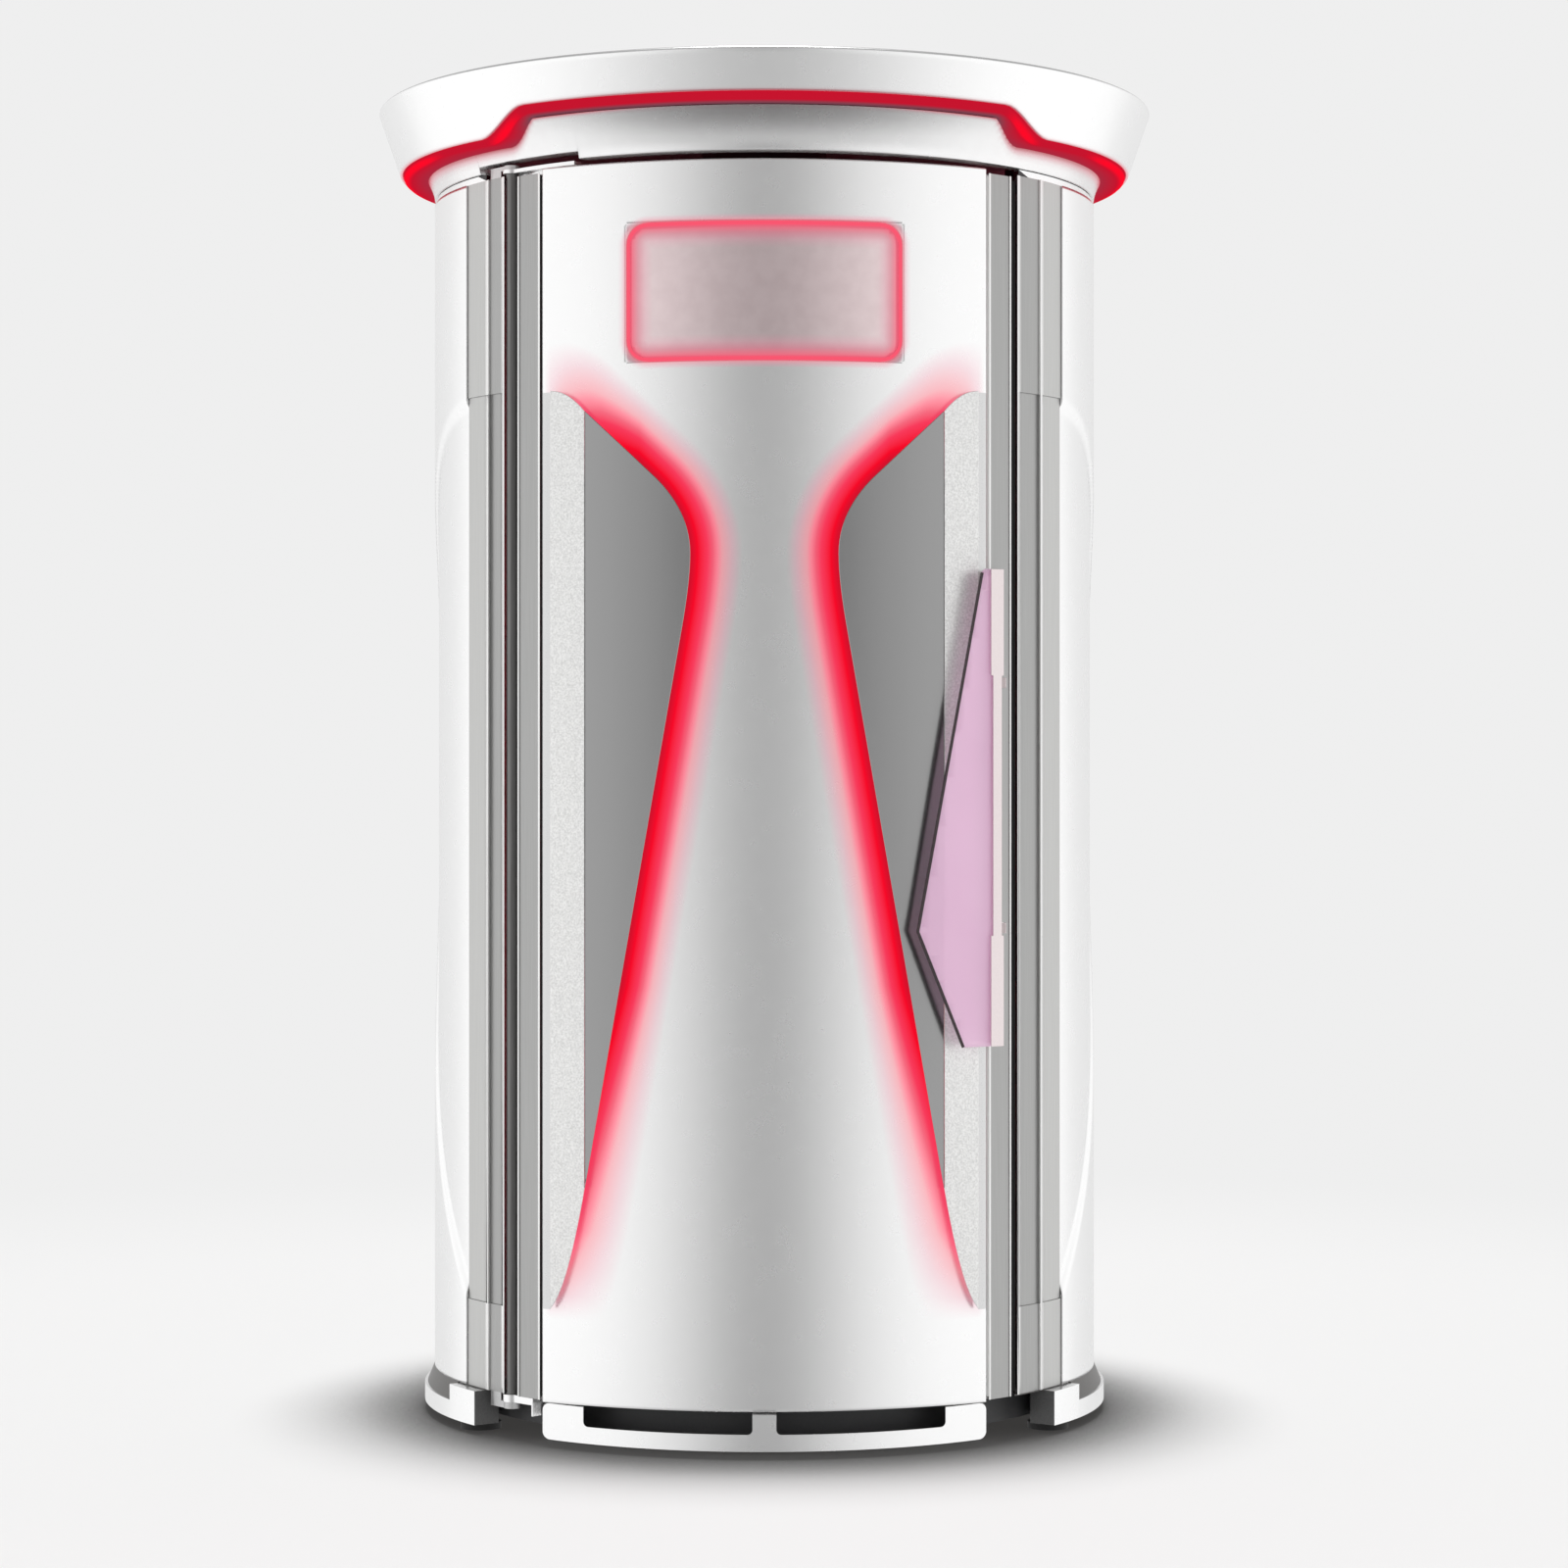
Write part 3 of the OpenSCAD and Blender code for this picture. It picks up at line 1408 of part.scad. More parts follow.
base_frame();
base_pan();
base_skirt();
toe_grille();
leveling_feet();
floor_deck();
floor_mat();
side_panel_left();
side_panel_right();
rear_service_panel();
panel_screws();
front_column_left();
front_column_right();
inner_cover_left();
inner_cover_right();
frame_posts();
top_frame();
fascia_ring();
canopy_crown();
canopy_light_strip();
canopy_roof();
ceiling_panel();
grab_handles();
fan_housing();
fan_motor();
fan_guard();
fan_rotor();
cabin_reflectors();
cabin_lamp_tubes();
cabin_lampholders();
cabin_guards();
lamp_drivers();
power_inlet();
main_switch();
control_panel();
control_display();
start_button();
timer_button();
emergency_stop();
hinge_brackets();
hinge_pins();
catch_magnets();
door_stiles();
door_rails();
door_skin();
wing_left();
wing_right();
wing_edge_strips();
wing_light_strips();
sign_panel();
sign_light_frame();
door_reflector();
door_lamp_tubes();
door_lampholders();
door_guard();
door_seals();
handle_bar();
handle_plate();
hinge_tube();
hinge_arms();
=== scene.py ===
import json
import math

import bmesh
import bpy
import numpy as np
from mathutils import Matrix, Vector, geometry

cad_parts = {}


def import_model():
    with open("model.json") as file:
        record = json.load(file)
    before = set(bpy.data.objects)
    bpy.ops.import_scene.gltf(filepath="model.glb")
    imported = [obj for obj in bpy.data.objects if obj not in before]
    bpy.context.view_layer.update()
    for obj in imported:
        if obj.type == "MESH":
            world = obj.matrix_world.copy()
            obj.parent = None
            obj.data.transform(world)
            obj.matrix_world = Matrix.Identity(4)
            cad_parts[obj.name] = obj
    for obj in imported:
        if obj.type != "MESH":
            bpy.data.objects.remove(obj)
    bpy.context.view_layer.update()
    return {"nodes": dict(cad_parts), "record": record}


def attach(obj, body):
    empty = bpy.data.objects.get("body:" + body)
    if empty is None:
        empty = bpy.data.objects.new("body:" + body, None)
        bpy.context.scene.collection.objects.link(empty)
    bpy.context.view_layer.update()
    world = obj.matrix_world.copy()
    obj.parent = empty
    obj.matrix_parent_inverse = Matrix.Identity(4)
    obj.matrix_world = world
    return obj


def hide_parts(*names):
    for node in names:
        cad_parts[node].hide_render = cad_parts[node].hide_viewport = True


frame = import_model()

NODES = frame["nodes"]


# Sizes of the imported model, in metres; plan angles in degrees from the front
BODY_R = 0.570
PANEL_LOW, PANEL_TOP = 0.075, 2.068
PANEL_A, REAR_A = 60.5, 122.0
RECESS_LOW, RECESS_TOP = 0.218, 1.714

# Door: plan arc of its skin with centre and half width, the wings before it, its sign and its handle plate
DOOR_LOW, DOOR_TOP = 0.074, 2.068
STILE_TOP = 2.064
SKIN_R, SKIN_Y, SKIN_HALF, SKIN_EDGE = 0.680, 0.118, 0.359, 0.010
WING_R, WING_T = 0.688, 0.004
SIGN_W, SIGN_H, SIGN_Z, SIGN_CORNER = 0.440, 0.221, 1.858, 0.034
HANDLE_X, HANDLE_R, HANDLE_T = 0.374, 0.716, 0.005
HANDLE_LOW, HANDLE_TOP = 0.652, 1.418

# Canopy: the crown's rim runs at RIM_Z round the back and sides and rises to FRONT_Z between the half widths
RIM_R, RIM_Z, FRONT_Z = 0.629, 2.119, 2.161
FRONT_HALF, SIDE_HALF = 0.388, 0.461
CROWN_TOP_R, CROWN_TOP_Z = 0.667, 2.228
FASCIA_OUT, FASCIA_LOW, FASCIA_TOP = 0.037, 2.0795, 2.146
NOTCH_X, NOTCH_TOP = (-0.4690, -0.2985), 2.0905

# Level of the pale background, where 1 is white
BACKDROP = 0.862


def polar(r, a):
    a = math.radians(a)
    return (r * math.sin(a), -r * math.cos(a))


def bezier(p, n):
    """n points along the curve of four control points, without its first one."""
    out = []
    for i in range(1, n + 1):
        t = i / n
        u = 1 - t
        w = (u * u * u, 3 * u * u * t, 3 * u * t * t, t * t * t)
        out.append(tuple(sum(w[k] * p[k][c] for k in range(4)) for c in (0, 1)))
    return out


def smoothstep(x, lo=0.0, hi=1.0):
    t = np.clip((np.asarray(x, float) - lo) / (hi - lo), 0, 1)
    return t * t * (3 - 2 * t)


def nearest(points, path):
    """Distance in the plane from each point to a polyline, and the place on it that is nearest."""
    pts = np.asarray(points, float)
    best, place = np.full(len(pts), np.inf), pts.copy()
    for a, b in zip(np.array(path[:-1]), np.array(path[1:])):
        d = b - a
        t = np.clip(((pts - a) @ d) / max(d @ d, 1e-12), 0, 1)
        foot = a + t[:, None] * d
        gap = np.linalg.norm(pts - foot, axis=1)
        closer = gap < best
        best[closer], place[closer] = gap[closer], foot[closer]
    return best, place


# Materials

def grey(level):
    return (level, level, level)


def new_tree(name):
    """An empty finish; its glow is seen where rays meet it and isn't aimed at, which keeps pictures clean."""
    mat = bpy.data.materials.new(name)
    mat.cycles.emission_sampling = "NONE"
    mat.use_nodes = True
    tree = mat.node_tree
    return mat, tree, tree.nodes["Principled BSDF"]


def configured(thing, **settings):
    """The thing, with its settings made."""
    for name, value in settings.items():
        setattr(thing, name, value)
    return thing


def add(tree, kind, **settings):
    return configured(tree.nodes.new("ShaderNode" + kind), **settings)


def put(node, **values):
    """Sets inputs of a node, with _ for the blanks in their names; a socket is linked to its input."""
    for name, value in values.items():
        target = node.inputs[name.replace("_", " ")]
        if isinstance(value, bpy.types.NodeSocket):
            node.id_data.links.new(value, target)
        else:
            target.default_value = value


def noise(tree, scale, stretch=(1, 1, 1), detail=2.0):
    mapping = add(tree, "Mapping")
    put(mapping, Vector=add(tree, "TexCoord").outputs["Object"], Scale=stretch)
    tex = add(tree, "TexNoise")
    put(tex, Vector=mapping.outputs["Vector"], Scale=scale, Detail=detail)
    return tex.outputs["Fac"]


def ramp(tree, fac, stops):
    """A colour that runs through the stops (place, colour) as fac goes from 0 to 1."""
    node = add(tree, "ValToRGB")
    elements = node.color_ramp.elements
    while len(elements) < len(stops):
        elements.new(0.5)
    for element, (place, colour) in zip(elements, stops):
        element.position = place
        element.color = tuple(colour) + (1.0,)
    put(node, Fac=fac)
    return node.outputs["Color"]


def spread(tree, fac, lo, hi):
    """Carries a noise, which stays near 0.5, over the range from lo to hi."""
    node = add(tree, "MapRange")
    put(node, Value=fac, From_Min=0.3, From_Max=0.7, To_Min=lo, To_Max=hi)
    return node.outputs["Result"]


def mix(tree, fac, one, two):
    """one where fac is 0 and two where it is 1: two numbers, or colours and sockets of colour."""
    number = isinstance(one, float)
    node = add(tree, "Mix", data_type="FLOAT" if number else "RGBA")
    tree.links.new(fac, node.inputs[0])
    for slot, value in zip((2, 3) if number else (6, 7), (one, two)):
        if number:
            node.inputs[slot].default_value = value
        elif isinstance(value, tuple):
            node.inputs[slot].default_value = value + (1.0,)
        else:
            tree.links.new(value, node.inputs[slot])
    return node.outputs[0 if number else 2]


def range_of(tree, value, low, high, soft=True):
    """0 where the value is low and 1 where it is high."""
    node = add(tree, "MapRange", interpolation_type="SMOOTHSTEP" if soft else "LINEAR")
    put(node, Value=value, From_Min=low, From_Max=high)
    return node.outputs["Result"]


def add_bump(tree, bsdf, height, strength, distance):
    node = add(tree, "Bump")
    put(node, Height=height, Strength=strength, Distance=distance)
    put(bsdf, Normal=node.outputs["Normal"])


def finish(name, dark, light, rough, metal=0.0, coat=0.0, grain=60.0, stretch=(1, 1, 1),
           bump=0.05, depth=0.0004, detail=2.0, alpha=1.0, glow=None, strength=0.0, spill=None):
    """A procedural finish: colour and roughness vary between two values, with a fine bump. The lens sees the
    glow at its strength, and spill, where given, is the little that it throws about."""
    mat, tree, bsdf = new_tree(name)
    fac = noise(tree, grain, stretch, detail)
    put(bsdf, Base_Color=ramp(tree, fac, [(0.35, dark), (0.65, light)]), Roughness=spread(tree, fac, *rough))
    if bump:
        add_bump(tree, bsdf, fac, bump, depth)
    put(bsdf, Metallic=metal, Coat_Weight=coat, Coat_Roughness=0.08, IOR=1.45, Alpha=alpha)
    if glow:
        put(bsdf, Emission_Color=glow + (1.0,), Emission_Strength=strength)
    if spill is not None:
        seen = add(tree, "LightPath").outputs["Is Camera Ray"]
        put(bsdf, Emission_Strength=mix(tree, seen, spill, strength))
    return mat


PAINT, PAINT_METAL = (grey(0.852), grey(0.860)), 0.85
ANODISED = {"metal": 0.7, "grain": 700, "stretch": (1, 1, 0.012), "bump": 0.1, "depth": 0.0001, "detail": 3}
M = {
    "white": finish("white_paint", *PAINT, (0.265, 0.275), PAINT_METAL, grain=40, bump=0.0),
    "inner": finish("white_inner", (0.74, 0.74, 0.73), (0.8, 0.8, 0.79), (0.42, 0.55),
                    grain=300, bump=0.12, depth=0.0002),
    "column": finish("anodised_aluminium", (0.36, 0.36, 0.355), (0.40, 0.40, 0.395), (0.32, 0.42),
                     **ANODISED),
    # A paler copy of the anodised finish: painted light on the columns' outer bands
    "column_painted_light": finish("anodised_painted_light", (0.49, 0.49, 0.48), (0.54, 0.54, 0.53), (0.32, 0.42),
                          **ANODISED),
    # A bright copy of the edge metal: painted highlights on the ribs of the columns and stiles, and beside
    # the skin
    "painted_highlight": finish("edge_painted_highlight", (0.84, 0.84, 0.83), (0.92, 0.92, 0.91), (0.2, 0.28), 0.4,
                       grain=500, stretch=(1, 1, 0.02), bump=0.04, depth=0.0001),
    # Dark steel for the frames and fan housing, also used as painted shade on the upper bracket's top
    "dark_steel": finish("dark_powder_coat_and_shade", (0.03, 0.03, 0.032), (0.05, 0.05, 0.052), (0.45, 0.6),
                         grain=900, bump=0.3, depth=0.0002),
    "pan": finish("pan_coat", (0.12, 0.115, 0.11), (0.16, 0.155, 0.15), (0.35, 0.5), 0.2,
                  grain=800, bump=0.2, depth=0.0002),
    # Painted shade for the skirt's end faces that look at each other
    "shade": finish("skirt_painted_shade", grey(0.10), grey(0.14), (0.4, 0.5), 0.2, grain=600),
    # Painted shade for the door skin's rolled edge beside the wings
    "skin_edge_shade": finish("door_edge_painted_shade", grey(0.60), grey(0.63), (0.27, 0.31), 0.85,
                        grain=700, bump=0.01, depth=0.0001),
    "bracket": finish("bracket_coat", grey(0.55), grey(0.66), (0.3, 0.42), 0.5,
                      grain=600, bump=0.12, depth=0.0002),
    "wing": finish("satin_grey", grey(0.27), grey(0.295), (0.16, 0.22), 0.9,
                   grain=1500, bump=0.05, depth=0.0001, detail=4),
    "stainless": finish("brushed_steel", (0.5, 0.5, 0.51), (0.62, 0.62, 0.63), (0.24, 0.36), 1.0,
                        grain=500, stretch=(1, 1, 0.05), bump=0.06, depth=0.0001),
    "bright": finish("bright_sheet", (0.8, 0.8, 0.81), (0.88, 0.88, 0.89), (0.08, 0.16), 1.0,
                     grain=20, bump=0.02, depth=0.0003),
    "rubber": finish("black_rubber", grey(0.012), grey(0.03), (0.6, 0.8),
                     grain=700, bump=0.3, depth=0.0003),
    "black": finish("black_plastic", (0.02, 0.02, 0.022), (0.04, 0.04, 0.042), (0.4, 0.5),
                    grain=900, bump=0.2, depth=0.0002),
    "tube": finish("grey_tube", (0.15, 0.148, 0.145), (0.20, 0.197, 0.194), (0.3, 0.4), 0.6,
                   grain=500, stretch=(1, 1, 0.02), bump=0.05, depth=0.0001),
    "case": finish("driver_case", grey(0.3), grey(0.4), (0.35, 0.5), 0.8, grain=300),
    "handle": finish("frosted_handle", (0.80, 0.71, 0.715), (0.84, 0.75, 0.755), (0.2, 0.24), 0.45,
                     grain=500, bump=0.01, depth=0.0001),
    "clear": finish("clear_acrylic", (0.9, 0.92, 0.93), (0.95, 0.96, 0.97), (0.03, 0.05),
                    grain=6, bump=0.002, alpha=0.10),
    # The pink plate's faint glow is painted light
    "pink": finish("pink_acrylic", (0.94, 0.66, 0.86), (0.98, 0.70, 0.90), (0.05, 0.1), 0.0, 0.3,
                   grain=5, bump=0.01, alpha=0.60, glow=(0.10, 0.05, 0.08), strength=1.0),
    "pink_edge": finish("dark_edge", (0.02, 0.012, 0.015), (0.04, 0.02, 0.025), (0.1, 0.2), grain=300),
    "red_deep": finish("red_strip", (0.02, 0.0, 0.001), (0.03, 0.0, 0.002), (0.5, 0.6), grain=90,
                       glow=(0.9, 0.003, 0.022), strength=1.0, spill=0.15),
    "lamp": finish("lamp_glass", (0.30, 0.02, 0.02), (0.36, 0.03, 0.03), (0.1, 0.2), grain=40,
                   glow=(1.0, 0.035, 0.04), strength=0.9, spill=0.3),
    "display": finish("display_glass", (0.004, 0.005, 0.006), (0.008, 0.009, 0.01), (0.05, 0.1),
                      0.0, 0.5, grain=20),
    "green": finish("green_button", (0.05, 0.32, 0.1), (0.07, 0.4, 0.14), (0.3, 0.4), grain=500),
    "grey_button": finish("grey_button", (0.3, 0.3, 0.31), (0.36, 0.36, 0.37), (0.35, 0.45), grain=500),
    "stop": finish("red_button", (0.42, 0.01, 0.01), (0.5, 0.015, 0.015), (0.22, 0.3), 0.0, 0.3,
                   grain=300),
}


def speckled():
    mat, tree, bsdf = new_tree("speckled_strip")
    fac = noise(tree, 330, detail=1.5)
    stops = [(0.28, (0.73, 0.73, 0.72)), (0.5, (0.84, 0.84, 0.83)), (0.68, (0.94, 0.94, 0.93))]
    put(bsdf, Base_Color=ramp(tree, fac, stops), Roughness=spread(tree, fac, 0.5, 0.3), Metallic=0.35)
    add_bump(tree, bsdf, fac, 0.25, 0.0003)
    return mat


def ribbed_mat():
    mat, tree, bsdf = new_tree("ribbed_mat")
    wave = add(tree, "TexWave")
    put(wave, Vector=add(tree, "TexCoord").outputs["Object"], Scale=40, Distortion=0.0)
    ribs = wave.outputs["Fac"]
    stops = [(0.2, (0.015, 0.015, 0.016)), (0.8, (0.05, 0.05, 0.052))]
    put(bsdf, Base_Color=ramp(tree, ribs, stops), Roughness=spread(tree, noise(tree, 300), 0.6, 0.8))
    add_bump(tree, bsdf, ribs, 0.5, 0.0015)
    return mat


def halo(name, base, stops_glow, stops_cover, rough=0.27, metal=PAINT_METAL):
    """A surface whose vertex value "glow" (0 far, 1 at the light) turns it into red light. On the paints and
    the sign's pane this is painted light; on the canopy's light body it is the lamp's own glow.
    """
    mat, tree, bsdf = new_tree(name)
    glow = add(tree, "Attribute", attribute_name="glow").outputs["Fac"]
    fac = noise(tree, 40)
    tint = ramp(tree, fac, [(0.35, base[0]), (0.65, base[1])])
    cover = ramp(tree, glow, [(place, grey(share)) for place, share in stops_cover])
    put(bsdf, Base_Color=mix(tree, cover, tint, (0.01, 0.0, 0.001)), Metallic=metal,
        Specular_IOR_Level=mix(tree, cover, 0.5, 0.0),
        Roughness=spread(tree, fac, rough - 0.005, rough + 0.005),
        Emission_Color=ramp(tree, glow, stops_glow), Emission_Strength=1.0)
    return mat


M["speckled"] = speckled()
M["mat"] = ribbed_mat()
# The door's paint, with painted red light from the wing strips, read from "glow"
M["skin"] = halo("door_paint_painted_glow", PAINT,
                 [(0.0, (0, 0, 0)), (0.183, (0.26, 0.07, 0.11)), (0.378, (0.583, 0.144, 0.184)),
                  (0.468, (0.826, 0.119, 0.192)), (0.56, (0.827, 0.057, 0.126)), (0.66, (0.93, 0.044, 0.105)),
                  (0.854, (0.92, 0.003, 0.021)), (1.0, (0.565, 0.007, 0.026))],
                 [(0.0, 0.0), (0.183, 0.3), (0.378, 0.6), (0.468, 0.8), (0.56, 0.9), (0.66, 1.0)])
# The crown's paint, with painted red light from the canopy's strip along its lip
M["crown"] = halo("crown_paint_painted_glow", PAINT,
                  [(0.0, (0, 0, 0)), (0.5, (0.08, 0.015, 0.025)), (1.0, (0.4, 0.06, 0.09))],
                  [(0.0, 0.0), (0.5, 0.12), (1.0, 0.6)])
# The fascia's paint, with painted red light from the canopy's strip on its upper part
M["fascia"] = halo("fascia_paint_painted_glow", (grey(0.80), grey(0.815)),
                   [(0.0, (0, 0, 0)), (0.35, (0.06, 0.01, 0.018)), (0.7, (0.3, 0.05, 0.08)),
                    (1.0, (0.42, 0.035, 0.06))],
                   [(0.0, 0.0), (0.35, 0.12), (0.7, 0.5), (1.0, 0.9)])
M["canopy_light"] = halo("canopy_light", ((0.02, 0.002, 0.003), (0.03, 0.003, 0.004)),
                         [(0.0, (0.1, 0.03, 0.045)), (0.3, (0.2, 0.055, 0.08)),
                          (0.6, (0.42, 0.02, 0.045)), (0.8, (0.565, 0.007, 0.026)),
                          (0.92, (0.9, 0.004, 0.022)), (1.0, (1.0, 0.003, 0.02))],
                         [(0.0, 1.0), (1.0, 1.0)], rough=0.5, metal=0.0)
# The sign's pane, with the lit border's light painted onto its edge
M["sign"] = halo("sign_face_painted_glow", ((0.78, 0.64, 0.65), (0.82, 0.68, 0.69)),
                 [(0.0, (0, 0, 0)), (0.31, (0.2, 0.06, 0.09)), (0.63, (0.42, 0.1, 0.15)),
                  (1.0, (0.85, 0.12, 0.19))],
                 [(0.0, 0.0), (0.31, 0.25), (0.63, 0.6), (1.0, 0.95)], rough=0.3)
M["sign_line"] = finish("sign_border", (0.02, 0.002, 0.003), (0.03, 0.003, 0.004), (0.5, 0.6),
                        grain=120, glow=(0.913, 0.076, 0.144), strength=1.0, spill=0.3)


# Pieces

def wear(mesh, mats):
    """Gives a mesh its finish, or its list of them, and nothing else."""
    mesh.materials.clear()
    for mat in mats if isinstance(mats, list) else [mats]:
        mesh.materials.append(mat)


def piece(name, verts, faces, body, mats, replaces=(), smooth=35.0, bevel=0.0, segments=2,
          face_mats=None):
    """A built mesh that rides on a body and takes the place of the nodes it replaces."""
    mesh = bpy.data.meshes.new(name)
    mesh.from_pydata([tuple(v) for v in verts], [], faces)
    mesh.validate()
    mesh.update()
    wear(mesh, mats)
    if face_mats is not None:
        mesh.polygons.foreach_set("material_index", face_mats)
    return settle(placed(name, mesh), body, replaces, smooth, bevel, segments)


def settle(ob, body, replaces=(), smooth=35.0, bevel=0.0, segments=2):
    """Joins doubled points, turns the faces outwards, rounds the edges and hands the piece to the frame."""
    mesh = ob.data
    bm = bmesh.new()
    bm.from_mesh(mesh)
    bmesh.ops.remove_doubles(bm, verts=bm.verts, dist=1e-6)
    bmesh.ops.recalc_face_normals(bm, faces=bm.faces)
    bm.to_mesh(mesh)
    bm.free()
    mesh.polygons.foreach_set("use_smooth", [True] * len(mesh.polygons))
    mesh.set_sharp_from_angle(angle=math.radians(smooth))
    if bevel:
        configured(ob.modifiers.new("edges", "BEVEL"), width=bevel, segments=segments,
                   limit_method="ANGLE", angle_limit=math.radians(38), miter_outer="MITER_ARC")
        configured(ob.modifiers.new("normals", "WEIGHTED_NORMAL"), keep_sharp=False, weight=80)
    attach(ob, body)
    if replaces:
        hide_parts(*([replaces] if isinstance(replaces, str) else replaces))
    return ob


def wall(ob, thickness, seen_side_out):
    """Gives an open skin its thickness, behind the side that is seen."""
    configured(ob.modifiers.new("wall", "SOLIDIFY"), thickness=thickness,
               offset=-1.0 if seen_side_out else 1.0)


def placed(name, data):
    ob = bpy.data.objects.new(name, data)
    bpy.context.scene.collection.objects.link(ob)
    return ob


def body_of(node):
    return next(b for b, ns in frame["record"]["behaviour"]["bodies"].items() if node in ns)


def rounded(node, mats, bevel, segments=2, pick=None):
    """The node's own shape with its hard edges rounded; pick chooses the finish of each face."""
    flat = math.radians(1.0)
    mesh = NODES[node].data.copy()
    mesh.name = node + "_rounded"
    wear(mesh, mats)
    bm = bmesh.new()
    bm.from_mesh(mesh)
    bmesh.ops.remove_doubles(bm, verts=bm.verts, dist=2e-5)
    bmesh.ops.dissolve_limit(bm, angle_limit=flat, verts=bm.verts, edges=bm.edges)
    for f in bm.faces:
        f.material_index = pick(f.normal, f.calc_center_median()) if pick else 0
    bm.to_mesh(mesh)
    bm.free()
    settle(placed(mesh.name, mesh), body_of(node), node, bevel=bevel, segments=segments)


def turned(profiles, angles):
    """Closed profiles of (r, z), one for each plan angle, joined all the way round the booth axis."""
    k, n = len(profiles[0]), len(profiles)
    verts = [polar(r, a) + (z,) for prof, a in zip(profiles, angles) for r, z in prof]
    faces = []
    for i in range(n):
        p, q = i * k, (i + 1) % n * k
        faces += [(p + j, q + j, q + (j + 1) % k, p + (j + 1) % k) for j in range(k)]
    return verts, faces


def ring(a, b, n):
    """Faces between two rings of n points that start at a and b."""
    return [(a + i, a + (i + 1) % n, b + (i + 1) % n, b + i) for i in range(n)]


def prism(points, z0, z1):
    """Side faces first, in the order of the points, then both ends."""
    k = len(points)
    verts = [(x, y, z0) for x, y in points] + [(x, y, z1) for x, y in points]
    return verts, ring(0, k, k) + [tuple(range(k))[::-1], tuple(range(k, 2 * k))]


def append(verts, faces, part):
    """Adds a part's points and faces to the lists."""
    base = len(verts)
    verts += part[0]
    faces += [tuple(base + i for i in face) for face in part[1]]


def arc_points(r, x0, x1, n):
    """Points on a circle about the booth's axis, from x0 to x1 on its front side."""
    return [(x, -math.sqrt(r * r - x * x)) for x in np.linspace(x0, x1, n)]


def grid(rows):
    """Quads between rows of equal length."""
    n = len(rows[0])
    verts = [v for row in rows for v in row]
    faces = [(i * n + j, i * n + j + 1, (i + 1) * n + j + 1, (i + 1) * n + j)
             for i in range(len(rows) - 1) for j in range(n - 1)]
    return verts, faces


def filled(outline, spacing):
    """Triangles that fill an outline in the plane, with inner points every spacing."""
    closed = list(outline) + [outline[0]]
    edges = [(i, (i + 1) % len(outline)) for i in range(len(outline))]
    (x0, y0), (x1, y1) = np.min(outline, axis=0), np.max(outline, axis=0)
    inner = np.array([(x, y) for x in np.arange(x0 + spacing[0] / 2, x1, spacing[0])
                      for y in np.arange(y0 + spacing[1] / 2, y1, spacing[1])])
    free = inside(outline, inner) & (nearest(inner, closed)[0] > spacing[0] * 0.3)
    pts = [Vector(p) for p in list(outline) + list(inner[free])]
    verts, _, faces, *_ = geometry.delaunay_2d_cdt(pts, edges, [list(range(len(outline)))], 1, 1e-6)
    return [(v.x, v.y) for v in verts], faces


def inside(outline, points):
    """Which of the points lie inside the outline."""
    x, y = points[:, 0], points[:, 1]
    hit = np.zeros(len(points), bool)
    for (x0, y0), (x1, y1) in zip(outline, np.roll(outline, -1, axis=0)):
        with np.errstate(divide="ignore", invalid="ignore"):
            hit ^= ((y0 > y) != (y1 > y)) & (x < (x1 - x0) * (y - y0) / (y1 - y0) + x0)
    return hit


def on_band(r, x, z):
    """Carries a front-view point onto a cylinder round the door skin's own axis."""
    return (x, SKIN_Y - math.sqrt(max(r * r - x * x, 1e-9)), z)


def coords(ob):
    """Arrays of the points' x, y and z."""
    return np.array([v.co for v in ob.data.vertices]).T


def set_glow(ob, values):
    """The value that a halo finish reads, one for each point."""
    attr = ob.data.attributes.new("glow", "FLOAT", "POINT")
    attr.data.foreach_set("value", np.asarray(values, np.float32))


# Outlines shared with the solids

def wing_outline():
    """The right wing's inner edge in front view (x, z), from its top corner over the waist down."""
    outer, waist, waist_z, top, low = 0.345, 0.118, 1.440, 1.706, 0.227
    diag = (waist + 0.055, waist_z + 0.121)
    straight = (waist + 0.013, waist_z - 0.117)
    foot = (outer - 0.066, low + 0.248)
    inner = [(outer, top)]
    inner += bezier([(outer, top), (outer - 0.025, top - 0.001), (outer - 0.040, top - 0.016),
                     (outer - 0.057, top - 0.035)], 8)
    inner += [diag]
    inner += bezier([diag, (waist + 0.022, waist_z + 0.088), (waist, waist_z + 0.048), (waist, waist_z)], 14)
    inner += bezier([(waist, waist_z), (waist, waist_z - 0.035), (waist + 0.006, waist_z - 0.077),
                     straight], 8)
    inner += [foot]
    inner += bezier([foot, (outer - 0.049, low + 0.152), (outer - 0.029, low + 0.036), (outer, low)], 12)
    return inner


WING = wing_outline()


def crown_radius(z):
    """The crown widens evenly from its rim to its top."""
    return RIM_R + (z - RIM_Z) * (CROWN_TOP_R - RIM_R) / (CROWN_TOP_Z - RIM_Z)


def rim_height(x):
    """Height of the crown's lower edge in front view."""
    return FRONT_Z + (RIM_Z - FRONT_Z) * float(smoothstep(abs(x), FRONT_HALF, SIDE_HALF))


# Cabinet shell

def rim_at(a):
    """Height of the crown's lower edge at a plan angle."""
    z = RIM_Z
    if abs(a) < 90:
        z = FRONT_Z
        for _ in range(8):
            z = rim_height(crown_radius(z) * math.sin(math.radians(a)))
    return z


